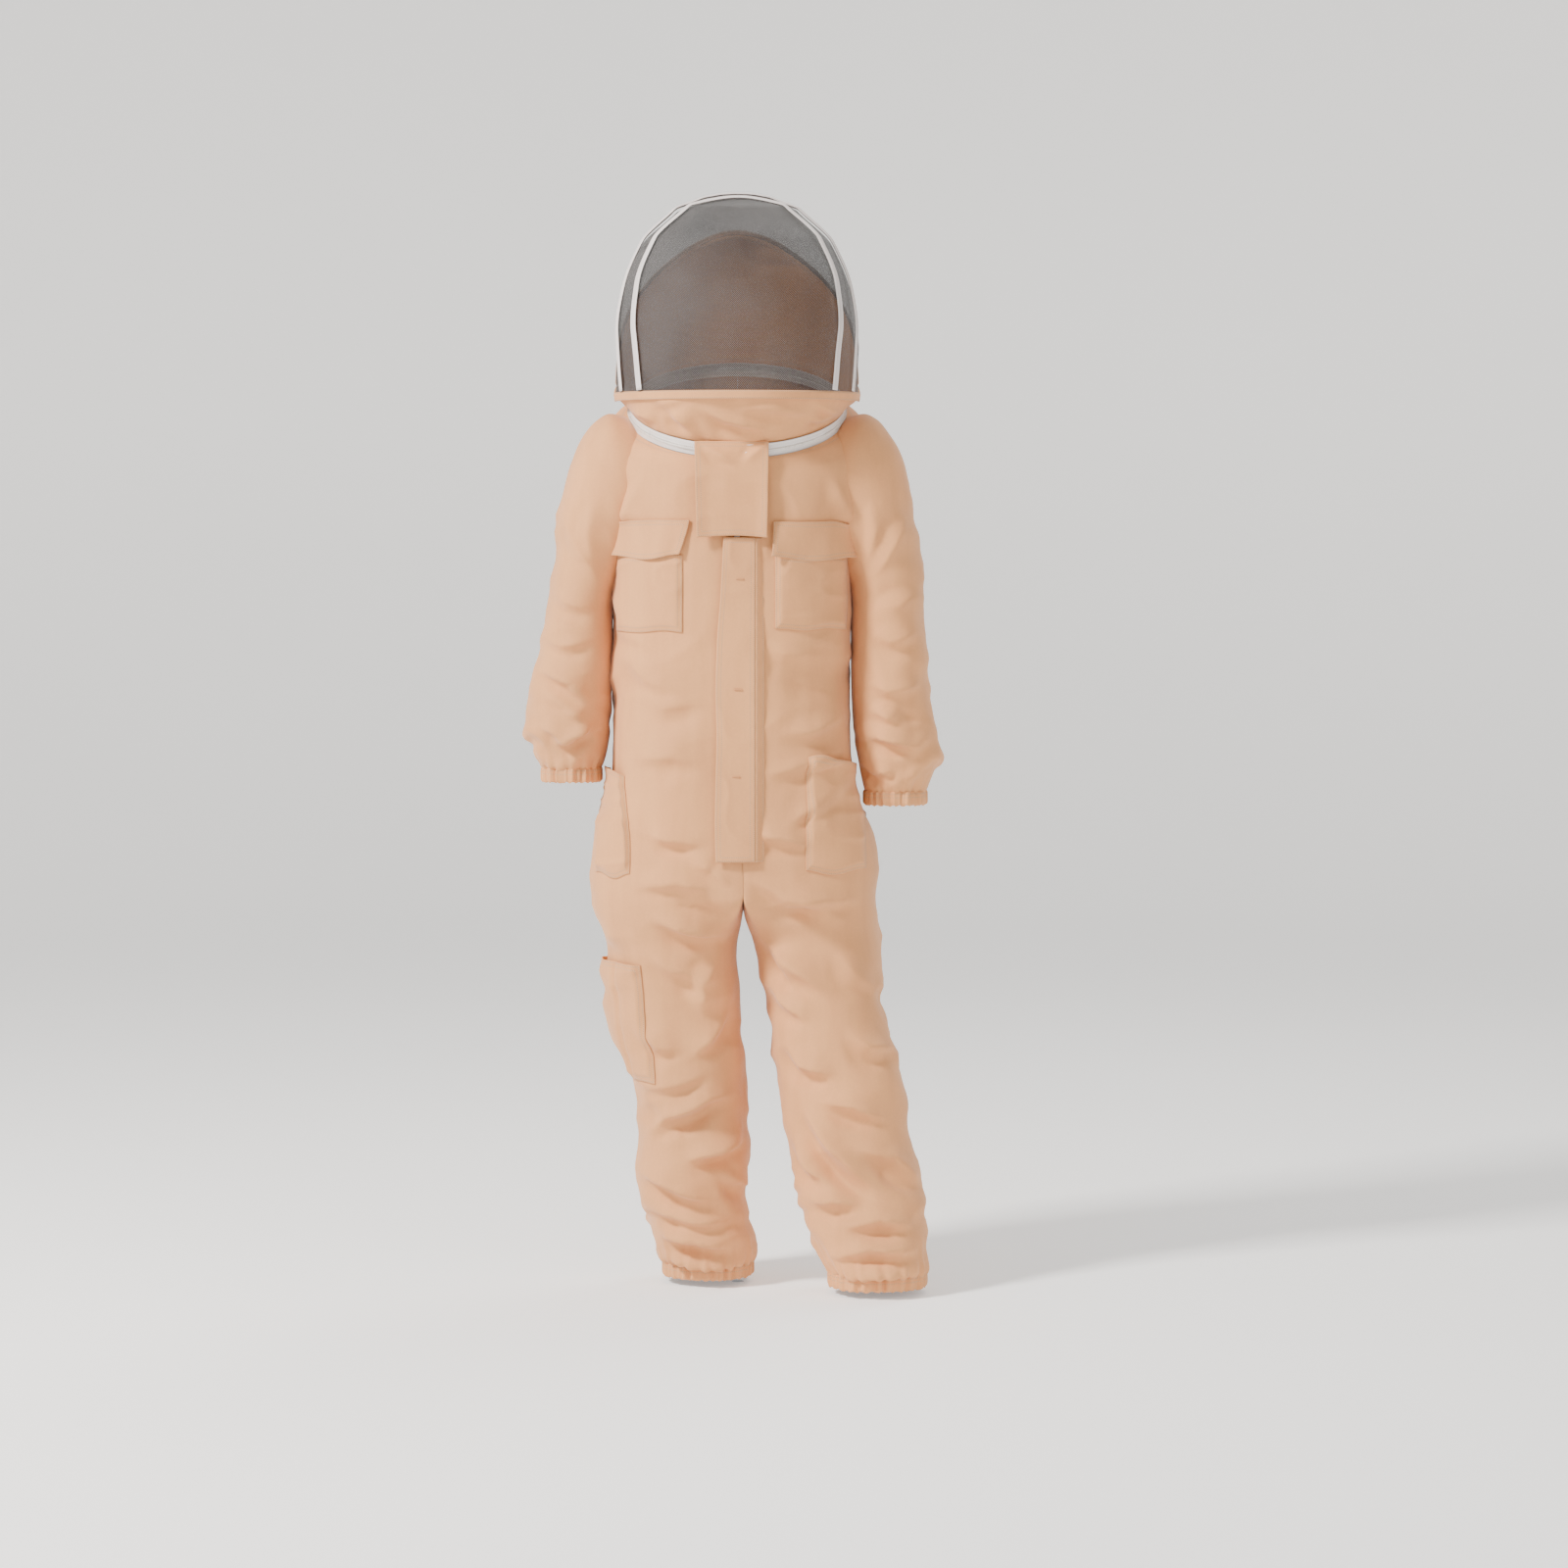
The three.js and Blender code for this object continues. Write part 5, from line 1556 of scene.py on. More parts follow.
@dataclass
class Hood:
    """The hooped mesh hood: bib, base hoop, two arches, netting and its cloth back."""

    corner: float = 99.0  # degrees from the centre front where the bib ends
    hoop_line: float = 0.019
    veil_low: float = 0.0263
    top: float = 0.327
    back_top: float = 0.276
    rows: tuple[tuple[float, ...], ...] = (
        # height, half width, front, back, front slope, back slope
        (0.327, 0.000, 0.014, 0.014, 0.0, 0.0),
        (0.3255, 0.026, -0.012, 0.04, 0.0, 0.0),
        (0.321, 0.052, -0.036, 0.064, 0.0, 0.0),
        (0.305, 0.0935, -0.081, 0.104, 0.0, 0.0),
        (0.256, 0.145, -0.134, 0.15, 0.0, 0.05),
        (0.184, 0.176, -0.177, 0.173, 0.0, 0.15),
        (0.11, 0.1885, -0.19, 0.182, 0.0, 0.3),
        (0.06, 0.1885, -0.1895, 0.178, 0.0, 0.42),
        (0.019, 0.187, -0.186, 0.172, 0.03, 0.48),
        (0.0103, 0.166, -0.1364, 0.1644, 0.4663, 0.4663),
    )

    def surface(self, degrees: Array, heights: Array, out: float = 0.0) -> Array:
        """Points on the hood at angles round it and heights up it."""
        table = np.array(self.rows)
        degrees, heights = np.broadcast_arrays(np.asarray(degrees, float), np.asarray(heights, float))
        share = np.interp(-heights, -table[:, 0], np.arange(len(table)))
        values = through(np.arange(len(table)), table, share)
        half, front, back, slope_front, slope_back = (values[..., k] for k in range(1, 6))
        power = 2 / between(2.1, 2.0, ease((0.019 - heights) / 0.0087))
        a = np.radians(degrees)
        across, along = squared(np.sin(a), power), squared(np.cos(a), power)
        y = MIDDLE_Y - np.where(along > 0, MIDDLE_Y - front, back - MIDDLE_Y) * along
        z = heights + np.where(along > 0, slope_front, slope_back) * (y - MIDDLE_Y)
        x = half * across
        if out:
            reach = np.maximum(np.hypot(x, y - MIDDLE_Y), 1e-6)
            x, y = x * (1 + out / reach), y + (y - MIDDLE_Y) * out / reach
        return np.stack([x, y, z], -1)

    def back_edge(self, degrees: Array) -> Array:
        """Height of the top of the cloth back, at angles round the hood."""
        span = 180 - self.corner
        share = np.clip((span - np.abs(180 - np.abs(degrees))) / span, 0, 1)
        return self.veil_low + (self.back_top - self.veil_low) * np.sin(share * math.pi / 2) ** 0.8

    def veil(self) -> None:
        """The black netting, drawn over the arches and slack between them."""
        columns, rows = 240, 96
        degrees = np.linspace(-180, 180, columns, endpoint=False)
        behind = np.where(np.abs(degrees) > self.corner, self.back_edge(degrees), 0)
        low = np.maximum(self.veil_low - 0.0035, behind)
        share = np.linspace(0, 1, rows)[:, None]
        drop = np.where(share < 0.25, share**1.7 * 0.25**-0.7, share)
        heights = self.top - (self.top - low[None, :]) * drop
        grid = self.surface(np.broadcast_to(degrees, heights.shape), heights)
        cloth = Cloth(grid, closed=True)
        p, n = cloth.points, cloth.normals
        free = ease(share / 0.12) * ease((1 - share) / 0.06)
        slack = noise(p, (0.1, 0.1, 0.13), 101) * 0.0035
        slack = slack + creases(p, (0.09, 0.09, 0.16), 103, 0.02) * 0.0022
        gathers = np.cos(np.radians(degrees) * 46 + noise(p, 0.08, 105) * 2.0) * 0.0011
        foot = np.exp(-(1 - share) / 0.06)
        rise = slack * free + gathers * foot * free - 0.0022 * free
        cloth.points = p + n * rise[..., None]
        made = cloth.mesh("veil_mesh", NET)
        size = {"flat": (1.15, 0.46), "area": 0.27}
        arches = ["hoop_front", "hoop_rear"]
        place(made, "hood", Slot.NET, ["veil_mesh"], **size, held="stretched", rests_on=arches)

    def back(self) -> None:
        """The cloth back of the hood, and the binding where the netting is sewn to it."""
        columns, rows = 120, 64
        edge = self.corner - 0.6
        degrees = np.linspace(edge, 360 - edge, columns)
        top = self.back_edge(np.where(degrees > 180, degrees - 360, degrees)) + 0.003
        share = np.linspace(0, 1, rows)[:, None]
        heights = between(0.0098, top[None, :], share)
        cloth = Cloth(self.surface(np.broadcast_to(degrees, heights.shape), heights, 0.0006))
        cloth.outward = 1.0 if cloth.raw_normals()[rows // 2, columns // 2, 1] > 0 else -1.0
        p, n = cloth.points, cloth.normals
        free = ease(share / 0.1) * ease((1 - share) / 0.1)
        rise = creases(p, (0.13, 0.13, 0.07), 111, 0.03) * 0.0052
        rise = rise + creases(p, (0.05, 0.05, 0.03), 113, 0.02) * 0.0015
        rise = (rise + noise(p, 0.16, 115) * 0.004) * free
        cloth.points = p + n * rise[..., None]
        made = cloth.mesh("hood_back_panel", TWILL, 0.0009, inset=0.007)
        size, zip_tape = {"flat": (0.55, 0.29), "area": 0.085}, ["neck_zip_upper_tape"]
        place(made, "hood", Slot.TWILL, ["hood_back_panel"], **size, held="hung", rests_on=zip_tape)
        line = self.surface(degrees, top - 0.001, 0.0012)
        binding = ribbon("hood_binding", line, cloth_out(line), 0.0125, 0.0014, TWILL_DOUBLE)
        panel = ["hood_back_panel"]
        place(binding, "hood", Slot.TWILL, flat=(0.8, 0.0125), held="stretched", rests_on=panel)

    def bib(self) -> None:
        """The cloth bib between the base hoop and the neck zip, with its pulled folds."""
        columns, rows = 190, 30
        degrees = np.linspace(-self.corner, self.corner, columns)
        share = np.linspace(0, 1, rows)[:, None]
        heights = between(0.0192, 0.0098, share)
        grid = self.surface(*(np.broadcast_to(a, (rows, columns)) for a in (degrees, heights)))
        top, low = grid[0].copy(), grid[-1].copy()
        arc = np.sin(share * math.pi)[..., None] * np.array([0, 0, -0.004])
        grid = between(top[None], low[None], share[..., None]) + arc
        cloth = directed(Cloth(grid), (0, -1, -0.4))
        p, n = cloth.points, cloth.normals
        free = np.sin(share * math.pi) ** 0.7
        folds = drawn(
            (8, 6, 0.8, (-108, 0), (-84, -18), (-60, -38)),
            (8, 6.5, 0.9, (-60, -2), (-18, -22), (34, -34), (50, -45)),
            (8, 5.5, 0.8, (-10, -8), (57, -4), (117, -15)),
            (6, 4.8, 0.8, (110, 6), (140, -6), (166, -10)),
            (6, 4.5, 0.8, (95, -22), (130, -20), (160, -12)),
            (7, 5, 0.8, (-165, -2), (-140, -12), (-118, -26)),
            (7, 4, 0.7, (-135, 10), (-105, 4), (-70, 10)),
        )
        rise = folded(p, n, folds) * 1.6
        angle = np.radians(degrees)[None, :]
        gather = np.cos(angle * 31 + noise(p, 0.06, 121) * 2.2) * 0.0012 * share**2
        rise = (rise + noise(p, (0.07, 0.07, 0.03), 123) * 0.0045 + gather) * free
        cloth.points = p + n * rise[..., None]
        finish_patch(cloth.mesh("bib", TWILL, 0.001), "hood", (0.64, 0.058))

    def base(self) -> None:
        """The stiff hem at the bib's top, with the hoop's wire inside it."""
        degrees = np.linspace(-self.corner, self.corner, 180)
        line = self.surface(degrees, np.full_like(degrees, self.hoop_line))
        profile = []
        for k in range(20):
            a = k * math.tau / 20
            across, up = squared(math.cos(a), 0.6) * 0.0022, squared(math.sin(a), 0.8) * 0.0068
            bead = 0.0011 * math.exp(-(((up - 0.0035) / 0.0022) ** 2)) * (1 if across > 0 else 0.3)
            profile.append((across + math.copysign(bead, across), up))
        wave = noise(line, 0.09, 131) * 0.001
        made = tube("base_hoop", line, cloth_out(line), profile, TWILL_SEWN, wave)
        place(made, "hood", Slot.TWILL, ["base_hoop"])

    def arch(self, name: str, foot: float, crown: float, lean: float) -> None:
        """One sprung arch in white binding tape.

        Args:
            name: The arch's CAD node.
            foot: Depth of its feet.
            crown: Depth of its crown.
            lean: How its lean grows with height.
        """
        crown_height = self.reached(0.15, self.top, crown, lambda h: (0.0, h))
        steps = np.linspace(0, 1, 70)
        share = np.sin(steps * math.pi / 2)
        height = between(self.veil_low + 0.0005, crown_height, share)
        depth = between(foot, crown, share**lean)
        found = [self.reached(0.0, 130.0, y, lambda a, h=h: (a, h)) for h, y in zip(height, depth)]
        degrees = np.array(found)
        degrees[-1] = 0.0
        half = self.surface(degrees, height)
        line = resampled(np.concatenate([half * np.array([-1, 1, 1]), half[-2::-1]]), 170)
        middle = np.array([0, MIDDLE_Y, 0.1])
        outs = line - middle
        outs /= np.linalg.norm(outs, axis=1, keepdims=True)
        line = line + outs * 0.003
        profile = []
        for k in range(22):
            a = k * math.tau / 22
            up = squared(math.sin(a), 0.7) * 0.0061
            thick = 0.0008 + 0.0017 * math.exp(-((up / 0.0026) ** 2))
            profile.append((math.cos(a) * thick, up))
        made = tube(name, line, outs, profile, BINDING, noise(line, 0.06, 141) * 0.0006)
        place(made, "hood", Slot.TAPE, [name])

    def reached(self, low: float, high: float, depth: float, at: Callable[[float], Spot]) -> float:
        """Where the hood's surface reaches a depth, by halving a range of angles or heights.

        Args:
            low: The range's near end.
            high: Its far end.
            depth: The depth.
            at: Gives the angle and height for a value in the range.

        Returns:
            The value in the range.
        """
        for _ in range(40):
            middle = (low + high) / 2
            nearer = self.surface(*(np.array(v) for v in at(middle)))[1] < depth
            low, high = (middle, high) if nearer else (low, middle)
        return low

    def build(self) -> None:
        """Makes the hood."""
        self.veil()
        self.back()
        self.bib()
        self.base()
        self.arch("hoop_front", -0.118, -0.044, 1.7)
        self.arch("hoop_rear", -0.066, 0.004, 1.2)


def cloth_out(line: Array) -> Array:
    """Unit directions out from the hood's middle, level."""
    away = line - np.array([0.0, MIDDLE_Y, 0.0])
    away[:, 2] = 0
    return away / np.maximum(np.linalg.norm(away, axis=1, keepdims=True), 1e-9)


def tube(name: str, line: Array, outs: Array, profile: list[Spot], finish: Finish, wave: Array) -> Piece:
    """Sweeps a profile along a line.

    Args:
        name: Name of the piece.
        line: The line's points.
        outs: Directions out of the piece at each point.
        profile: Closed outline, out and up.
        finish: What it is made of.
        wave: How far each point drifts out.

    Returns:
        The piece.
    """
    way = np.gradient(line, axis=0)
    way /= np.linalg.norm(way, axis=1, keepdims=True)
    side = outs - way * (outs * way).sum(1, keepdims=True)
    side /= np.linalg.norm(side, axis=1, keepdims=True)
    up = np.cross(way, side)
    up *= np.where(up[len(up) // 2, 2] < 0, -1, 1)
    count, around = len(line), len(profile)
    thick, tall_at = np.array(profile).T[:, :, None]
    rings = [line[k] + side[k] * wave[k] + (thick * side[k] + tall_at * up[k]) for k in range(count)]
    points = np.concatenate(rings)
    run = np.concatenate([[0], np.cumsum(np.linalg.norm(np.diff(line, axis=0), axis=1))])
    faces, values = [], []
    shape = np.array(profile + [profile[0]])
    girth = np.concatenate([[0], np.cumsum(np.linalg.norm(np.diff(shape, axis=0), axis=1))])
    heights = [abs(p[1]) for p in profile] + [abs(profile[0][1])]
    tall = max(heights)
    for k in range(count - 1):
        for j in range(around):
            m = (j + 1) % around
            faces.append([k * around + j, k * around + m, (k + 1) * around + m, (k + 1) * around + j])
            near, far = tall - heights[j] - 0.0016, tall - heights[j + 1] - 0.0016
            first, last = girth[j], girth[j + 1]
            corner = [(first, run[k], near), (last, run[k], far)]
            values.append(corner + [(last, run[k + 1], far), (first, run[k + 1], near)])
    for ring, flip in ((0, True), (count - 1, False)):
        cap = [ring * around + j for j in range(around)]
        faces.append(cap[::-1] if flip else cap)
        values.append([(0.0, 0.0, 1.0)] * around)
    flat = np.array([v for row in values for v in row])
    volume = 0.0
    for f in faces[: around * 4]:
        a, b, c = points[f[0]], points[f[1]], points[f[2]]
        middle = points[f[0] // around * around : f[0] // around * around + around].mean(axis=0)
        volume += float(np.cross(b - a, c - a) @ (a - middle))
    if volume < 0:
        rows, flipped, start = [], [], 0
        for f in faces:
            rows.append(f[::-1])
            flipped.append(flat[start : start + len(f)][::-1])
            start += len(f)
        faces, flat = rows, np.concatenate(flipped)
    return solid(name, points, faces, finish, values=flat)


def ribbon(name: str, line: Array, outs: Array, width: float, thickness: float, finish: Finish) -> Piece:
    """A folded tape along a line, its edges rounded over.

    Args:
        name: Name of the piece.
        line: The line's points.
        outs: Directions out of the piece at each point.
        width: Its width.
        thickness: Its thickness.
        finish: What it is made of.

    Returns:
        The piece.
    """
    profile = []
    for k in range(16):
        a = k * math.tau / 16
        across = squared(math.cos(a), 0.7) * thickness / 2
        profile.append((across, squared(math.sin(a), 0.8) * width / 2))
    return tube(name, line, outs, profile, finish, noise(line, 0.05, 151) * 0.0004)


# ------------------------------------------------------------------ studio


@dataclass(frozen=True)
class Plain(Finish):
    """A plain matt backdrop."""

    colour: tuple[float, float, float, float] = shade(247, 246, 244)

    def dress(self, shader: Shader) -> None:
        """Builds the backdrop's nodes."""
        patch = shader.spots(0.8, 2.0)
        tone = shader.mixed(self.colour, tuple(c * 0.985 for c in self.colour), patch.spread(0.3, 0.7))
        glow = {"Emission Color": (1.0, 0.995, 0.985, 1), "Emission Strength": 0.32}
        shader.finish({"Base Color": tone, "Roughness": 0.9, "Specular IOR Level": 0.2, **glow})


def point(made: Piece, eye: Point, aim: Point) -> None:
    """Puts a light or camera at a place and turns it towards another."""
    made.location, made.rotation_mode = eye, "QUATERNION"
    made.rotation_quaternion = (Vector(aim) - Vector(eye)).to_track_quat("-Z", "Y")


@dataclass
class Studio:
    """The pale floor, the soft lights and the camera."""

    floor: float = -1.35
    aim: Point = (0.072, 0.0, -0.577)
    eye: Point = (0.02, -6.05, -0.3)
    lens: float = 90.0

    def build(self) -> None:
        """Sets up the studio."""
        turn, v = np.meshgrid(np.linspace(0, math.tau, 96, endpoint=False), np.linspace(0, 1, 60))
        bend = np.clip((v - 0.6) / 0.2, 0, 1) * math.pi / 2
        reach = np.where(v < 0.6, between(0.01, 7.5, v / 0.6), 7.5 + 1.8 * np.sin(bend))
        z = self.floor + 1.8 * (1 - np.cos(bend)) + np.clip((v - 0.8) / 0.2, 0, 1) * 5.0
        bowl = Cloth(np.stack([reach * np.cos(turn), reach * np.sin(turn), z], -1), closed=True)
        sweep = directed(bowl, (0, 0, 1))
        backdrop = sweep.mesh("studio_floor", Plain("backdrop"))
        world = bpy.data.worlds.new("studio")
        bpy.context.scene.world = world
        world.use_nodes = True
        sky = world.node_tree.nodes["Background"].inputs
        sky[0].default_value, sky[1].default_value = (0.98, 0.98, 1.0, 1), 0.25
        self.light("key", (-3.3, -2.3, 2.7), 0.8, 520, (1.0, 0.97, 0.94))
        self.light("fill", (2.9, -3.0, 0.9), 2.4, 26, (0.95, 0.97, 1.0))
        self.light("rim", (1.4, 2.0, 2.6), 1.6, 60, (1.0, 0.98, 0.95))
        data = bpy.data.cameras.new("camera")
        data.lens, data.sensor_width = self.lens, 36.0
        data.clip_start, data.clip_end = 0.1, 60
        camera = bpy.data.objects.new("camera", data)
        bpy.context.scene.collection.objects.link(camera)
        point(camera, self.eye, self.aim)
        bpy.context.scene.camera = camera

    def light(self, name: str, spot: Point, size: float, power: float, colour: Point) -> None:
        """A square soft light aimed at the chest."""
        data = bpy.data.lights.new(name, "AREA")
        data.shape, data.size, data.energy, data.color = "SQUARE", size, power, colour
        made = bpy.data.objects.new(name, data)
        point(made, spot, (0, 0, -0.45))
        bpy.context.scene.collection.objects.link(made)


# ------------------------------------------------------------------ folds of this suit


TRUNK_FOLDS = drawn(
    (30, -6, 0, (57, -410), (117, -427), (171, -436)),
    (11, 8, 0.8, (75, -636), (128, -593), (176, -558)),
    (10, 6, 0.7, (-173, -636), (-108, -652), (-41, -663)),
    (10, 6, 0.7, (0, -640), (72, -652), (128, -672)),
    (12, 8, 0.8, (6, -705), (73, -740), (194, -752)),
    (14, 5, 0.6, (-168, -427), (-108, -452), (-45, -446)),
    (13, 6, 0.6, (60, -495), (117, -490), (174, -461)),
    (13, 5, 0.6, (-174, -370), (-135, -413), (-78, -435)),
    (14, 5, 0.6, (-168, -532), (-93, -525), (-45, -547)),
    (13, 4, 0.6, (36, -352), (72, -373), (141, -380)),
    (12, 5, 0.6, (35, -562), (102, -540), (171, -517)),
    (11, 4, 0.6, (-186, -278), (-168, -338), (-126, -373)),
    (11, 4, 0.6, (171, -278), (150, -338), (102, -367)),
    (12, 6, 0.7, (-168, -728), (-93, -717), (-15, -735)),
    (10, 5, 0.6, (-78, -685), (-36, -698), (-3, -728)),
    (12, 6, 0.7, (27, -765), (102, -750), (177, -787)),
    (12, 5, 0.5, (-138, -98), (-168, -158), (-180, -217)),
    (12, 5, 0.5, (140, -98), (165, -158), (174, -217)),
)
RIGHT_LEG_FOLDS = drawn(
    (12, -9, 0, (-116, -749), (-63, -764), (6, -783)),
    (12, 8, 0.6, (-138, -769), (-71, -790), (-6, -802)),
    (13, 5, 0.6, (-153, -818), (-93, -855), (-18, -878)),
    (12, 5, 0.6, (-26, -825), (-56, -878), (-48, -938)),
    (11, 7, 0.8, (-71, -989), (-46, -965), (-7, -916)),
    (11, 6, 0.7, (-156, -938), (-120, -971), (-78, -983)),
    (12, 10, 0.9, (-147, -1122), (-108, -1082), (-46, -1053), (9, -1048)),
    (11, 6, 0.7, (-153, -1035), (-93, -1028), (-41, -1016)),
    (12, 10, 0.9, (-159, -1170), (-108, -1182), (-35, -1214)),
    (11, 9, 0.8, (-87, -1153), (-46, -1134), (21, -1122)),
    (11, 9, 0.9, (-132, -1266), (-68, -1270), (2, -1290)),
    (10, 7, 0.8, (-145, -1226), (-78, -1238), (9, -1246)),
    (9, 8, 0.9, (-126, -1305), (-56, -1312), (24, -1316)),
    (10, 6, 0.7, (-26, -1170), (5, -1185), (24, -1211)),
)
LEFT_LEG_FOLDS = drawn(
    (13, 9, 0.8, (30, -796), (73, -836), (145, -900)),
    (11, 7, 0.7, (45, -869), (73, -904), (114, -936)),
    (11, 8, 0.8, (69, -965), (98, -998), (154, -1017)),
    (13, 11, 0.9, (90, -1053), (134, -1110), (177, -1155), (222, -1199)),
    (11, 8, 0.8, (114, -1053), (174, -1058), (234, -1086)),
    (11, 9, 0.8, (178, -1122), (234, -1137), (287, -1194)),
    (11, 9, 0.9, (154, -1242), (214, -1226), (275, -1242)),
    (11, 8, 0.8, (80, -1103), (110, -1155), (147, -1185)),
    (11, 8, 0.8, (102, -1208), (147, -1199), (192, -1211)),
    (10, 9, 0.9, (129, -1290), (200, -1270), (287, -1280)),
    (9, 8, 0.9, (140, -1322), (207, -1310), (287, -1316)),
    (13, 5, 0.6, (147, -818), (180, -863), (222, -893)),
    (12, 7, 0.7, (162, -945), (200, -971), (252, -980)),
    (10, 6, 0.6, (50, -825), (72, -855), (90, -893)),
)
RIGHT_SLEEVE_FOLDS = drawn(
    (10, 8, 0.8, (-306, -392), (-257, -414), (-219, -456)),
    (10, 8, 0.8, (-284, -520), (-249, -493), (-200, -476)),
    (10, 5, 0.7, (-294, -427), (-258, -452), (-228, -490)),
    (11, 5, 0.6, (-266, -158), (-240, -217), (-210, -263)),
    (10, 4, 0.6, (-210, -128), (-228, -188), (-219, -240)),
    (11, 5, 0.7, (-288, -278), (-258, -295), (-210, -310)),
    (10, 5, 0.7, (-303, -352), (-266, -360), (-216, -352)),
    (9, 6, 0.7, (-310, -480), (-281, -490), (-243, -517)),
)
LEFT_SLEEVE_FOLDS = drawn(
    (10, 9, 0.9, (177, -509), (198, -495), (236, -504), (289, -522)),
    (9, 8, 0.8, (177, -525), (208, -549), (252, -559)),
    (14, -7, 0, (236, -450), (267, -470), (297, -480)),
    (11, 6, 0.7, (192, -413), (230, -427), (288, -421)),
    (11, 5, 0.6, (260, -158), (234, -217), (207, -263)),
    (10, 4, 0.6, (198, -128), (210, -188), (201, -247)),
    (11, 5, 0.7, (195, -338), (237, -352), (285, -338)),
    (9, 6, 0.7, (198, -458), (222, -464), (249, -484)),
    (11, 5, 0.6, (275, -278), (244, -300), (200, -304)),
)
SIDE_FOLDS = {
    side: scattered(200 + side, 13, (-0.17, -0.7), (0.17, -0.16), Side.BACK, 0.45)
    + scattered(210 + side, 12, (near, -1.29), (far, -0.78), Side.BACK, 0.6)
    + scattered(220 + side, 9, (-0.06, -0.72), (0.08, -0.22), outer, 0.4)
    + scattered(230 + side, 13, (-0.08, -1.29), (0.05, -0.78), outer, 0.6)
    + scattered(240 + side, 9, (-0.08, -1.29), (0.05, -0.86), inner, 0.6)
    for side, near, far, outer, inner in (
        (1, 0.06, 0.24, Side.LEFT, Side.RIGHT),
        (-1, -0.14, 0.0, Side.RIGHT, Side.LEFT),
    )
}
SLEEVE_SIDES = {
    side: scattered(250 + side, 10, (0.2 * side, -0.55), (0.27 * side, -0.12), Side.BACK, 0.6)
    + scattered(260 + side, 9, (-0.04, -0.55), (0.04, -0.12), outer, 0.5)
    for side, outer in ((1, Side.LEFT), (-1, Side.RIGHT))
}


# ------------------------------------------------------------------ the suit


LEFT_LEG = metres(
    # height, inner and outer edge across, middle depth, half depth
    (-735, 10, 219, 8, 114),
    (-775, 13, 222, 6, 111),
    (-800, 20, 221, 4, 108),
    (-847, 31, 224, -4, 106),
    (-895, 40, 222, -12, 104),
    (-943, 50, 229, -19, 101),
    (-991, 57, 244, -26, 99),
    (-1039, 63, 255, -35, 95),
    (-1087, 70, 260, -44, 91.5),
    (-1135, 77, 266, -52, 89.5),
    (-1183, 86, 279, -63, 87.5),
    (-1231, 100, 287, -76, 85.5),
    (-1279, 119, 289, -88, 83),
    (-1300, 132, 288, -94, 79),
    (-1314, 140, 287, -98, 72),
    (-1320.5, 144, 283, -100, 66),
)
RIGHT_LEG = metres(
    (-735, 8, -227, 8, 114),
    (-775, 5, -215, 7, 113),
    (-800, 1, -206, 6, 112),
    (-847, -1, -196, 6, 109),
    (-895, 4, -195, 6, 106),
    (-943, 3, -190, 6, 103),
    (-991, 8, -178, 5, 100),
    (-1039, 13, -164, 5, 96.5),
    (-1087, 12, -153, 4, 93),
    (-1135, 19, -155, 4, 91.5),
    (-1170, 18, -160, 4, 90.5),
    (-1200, 13, -154, 4, 89.5),
    (-1240, 17, -142, 5, 86),
    (-1279, 27, -133, 6, 83),
    (-1300, 30, -129, 6, 79),
    (-1314, 26, -122, 6, 72),
    (-1320.5, 20, -114, 6, 66),
)
LEFT_SLEEVE = metres(
    # outer edge across and up, inner edge across and up, half depth
    (150, -30, 110, -160, 66),
    (172, -12, 115, -176, 76),
    (195, -7, 122, -190, 83),
    (214, -15, 130, -204, 86),
    (232, -35, 141, -220, 86),
    (248, -60, 154, -238, 84),
    (260, -98, 166, -258, 81),
    (270, -155, 174, -284, 77),
    (281, -215, 176, -312, 74),
    (287, -280, 176, -348, 73),
    (289, -350, 176, -390, 72),
    (292, -420, 177, -436, 72),
    (299, -470, 179, -475, 72),
    (307, -510, 182, -510, 70),
    (313, -536, 187, -536, 66),
    (307, -558, 191, -558, 60),
    (295, -577, 195, -577, 53),
    (287, -590, 198, -590, 47),
)
RIGHT_SLEEVE = metres(
    (-150, -30, -115, -160, 66),
    (-172, -12, -120, -176, 76),
    (-195, -7, -128, -190, 83),
    (-214, -16, -137, -204, 86),
    (-232, -35, -149, -220, 86),
    (-248, -60, -163, -238, 84),
    (-262, -100, -178, -258, 81),
    (-274, -160, -188, -284, 77),
    (-283, -220, -190, -312, 73),
    (-292, -290, -190, -348, 72),
    (-304, -360, -191, -390, 71),
    (-313, -415, -192, -430, 71),
    (-319, -460, -194, -462, 70),
    (-322, -495, -197, -495, 66),
    (-314, -520, -201, -520, 60),
    (-305, -540, -206, -540, 53),
    (-300, -554, -212, -554, 46),
)


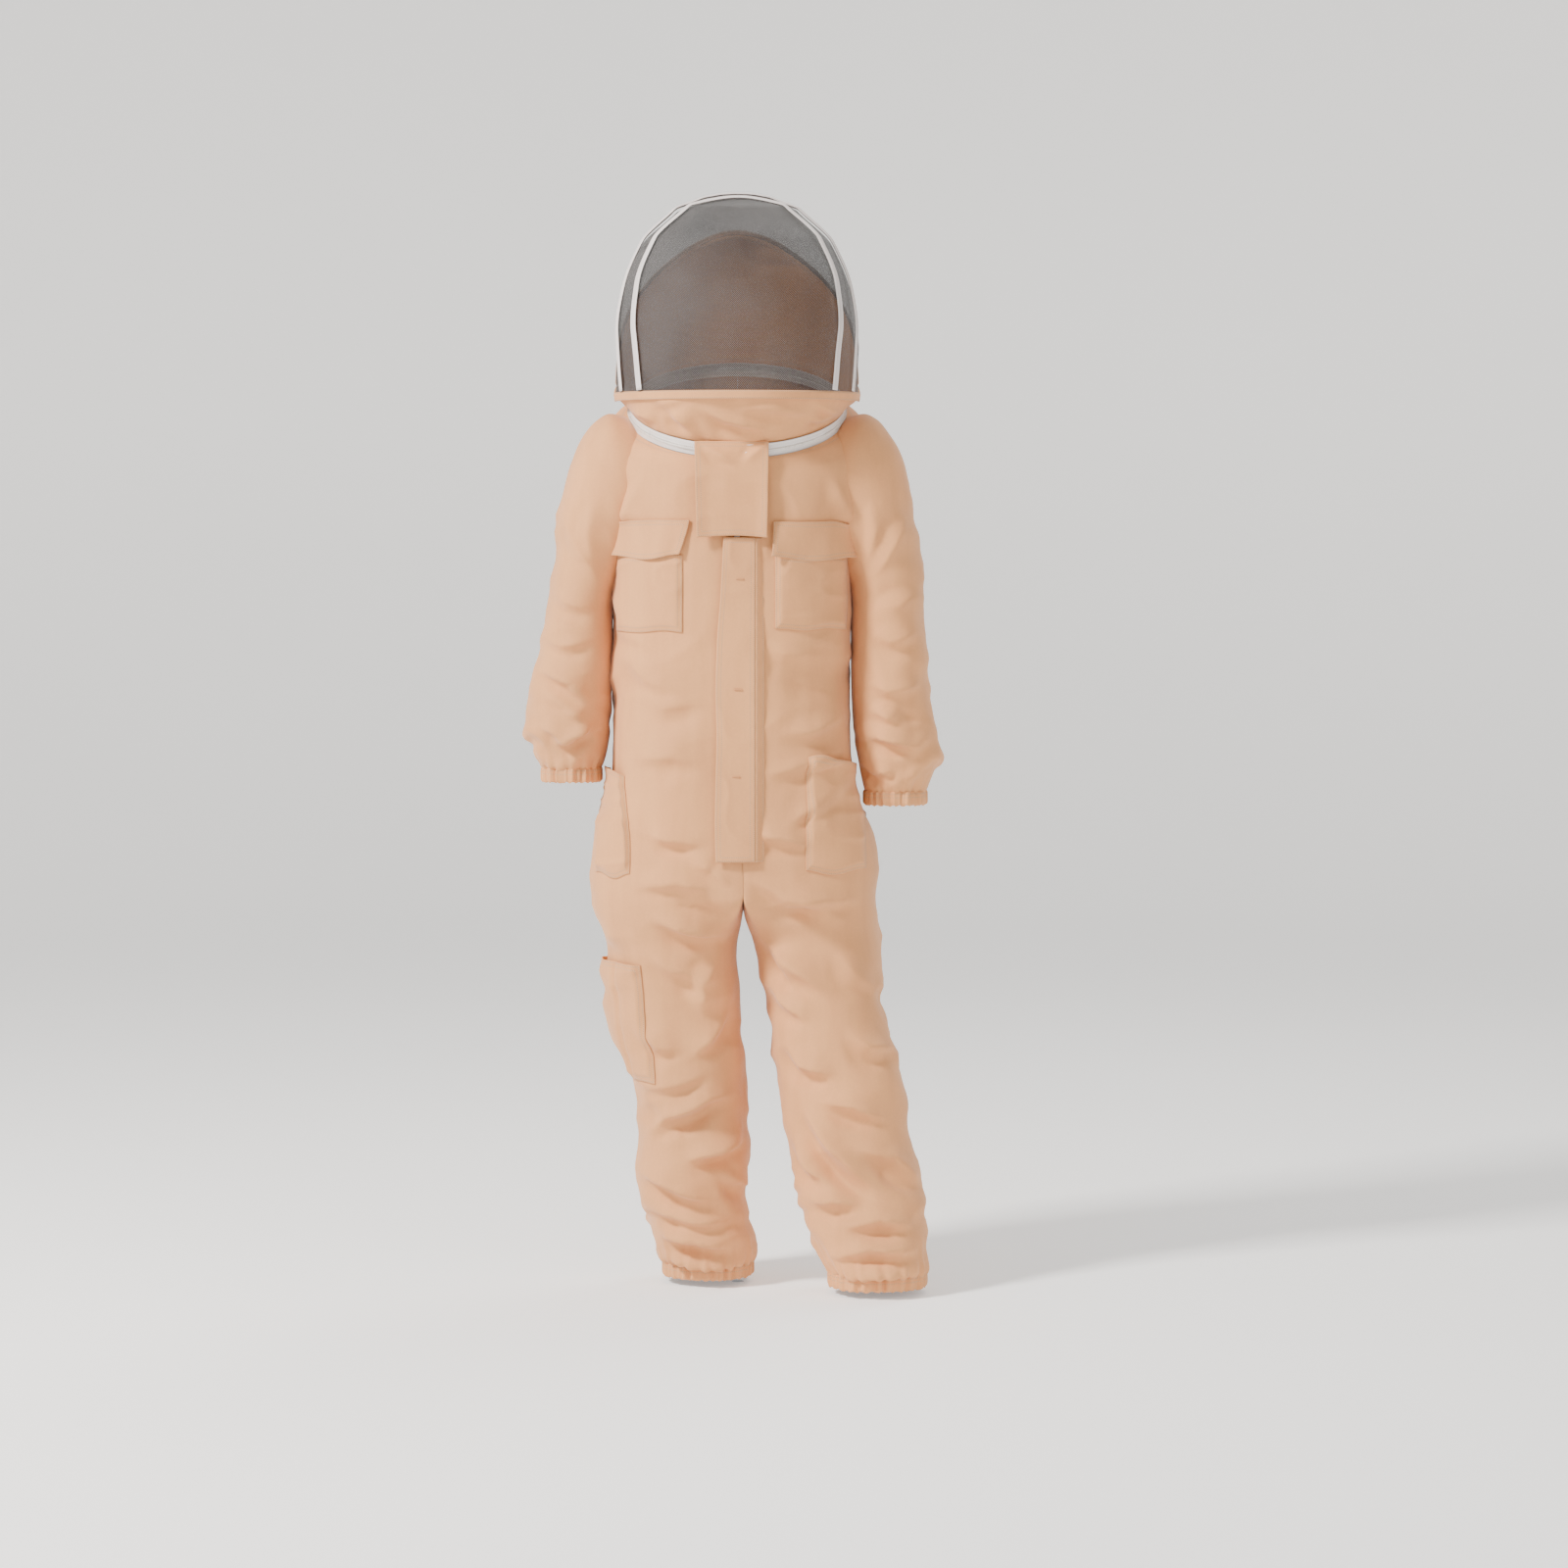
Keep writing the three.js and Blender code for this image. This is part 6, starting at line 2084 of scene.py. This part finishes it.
def hem(half: Half, cloth: Cloth, word: str) -> None:
    """The gathered hem below a leg."""
    ring = cloth.points[-1].copy()
    ring[:, 2] = half.bottom + 0.0035
    nodes = (f"hem_{word}", f"ankle_elastic_{word}")
    Casing(f"hem_{word}", half.body, ring, nodes, (0.45, 0.05), pleats=34, seed=17 + half.side).build()


def build_suit() -> None:
    """Makes every piece of the suit, in order."""
    left = Half(
        1, "suit_left", "leg_body_left", 0.111, LEFT_LEG,
        TRUNK_FOLDS + LEFT_LEG_FOLDS + tuple(SIDE_FOLDS[1]),
        ("front_panel_left", "back_panel", "leg_left"),
    )
    right = Half(
        -1, "suit_right", "leg_body_right", -0.1106, RIGHT_LEG,
        TRUNK_FOLDS + RIGHT_LEG_FOLDS + tuple(SIDE_FOLDS[-1]),
        ("front_panel_right", "leg_right"),
    )
    laid = {}
    for half in (left, right):
        cloth = half.build()
        laid[half.side] = Patch(half, cloth, half.cut())
        hem(half, cloth, "left" if half.side > 0 else "right")
    pockets = Pockets(1, laid[1], (0.057, 0.166, -0.226, -0.338), (0.054, 0.169, -0.1675, -0.2285))
    pockets.chest_pocket()
    pockets.chest_flap()
    pockets.hip_pocket(((0.106, -0.53), (0.18, -0.546)), -0.707, (0.104, 0.196))
    pockets = Pockets(-1, laid[-1], (0.082, 0.184, -0.224, -0.341), (0.071, 0.19, -0.165, -0.226))
    pockets.chest_pocket()
    pockets.chest_flap()
    pockets.hip_pocket(((-0.17, -0.56), (-0.205, -0.552)), -0.712, (-0.162, -0.214))
    ToolPocket(right, laid[-1].cloth).build()
    for side, word, rings, folds in (
        (1, "left", LEFT_SLEEVE, LEFT_SLEEVE_FOLDS),
        (-1, "right", RIGHT_SLEEVE, RIGHT_SLEEVE_FOLDS),
    ):
        name, folds = f"sleeve_{word}", folds + tuple(SLEEVE_SIDES[side])
        cuff, elastic = f"cuff_{word}", f"wrist_elastic_{word}"
        Sleeve(side, name, f"arm_{word}", rings, folds, (name,), cuff, elastic).build()
    for part in (NeckZip(), MainZip(), Placket(), NeckTab(), Hood()):
        part.build()


def main() -> None:
    """Builds the suit and its studio."""
    logging.basicConfig(level=logging.INFO, format="%(message)s")
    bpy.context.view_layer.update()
    build_suit()
    Studio().build()
    bpy.context.view_layer.update()


if __name__ == "__main__":
    main()
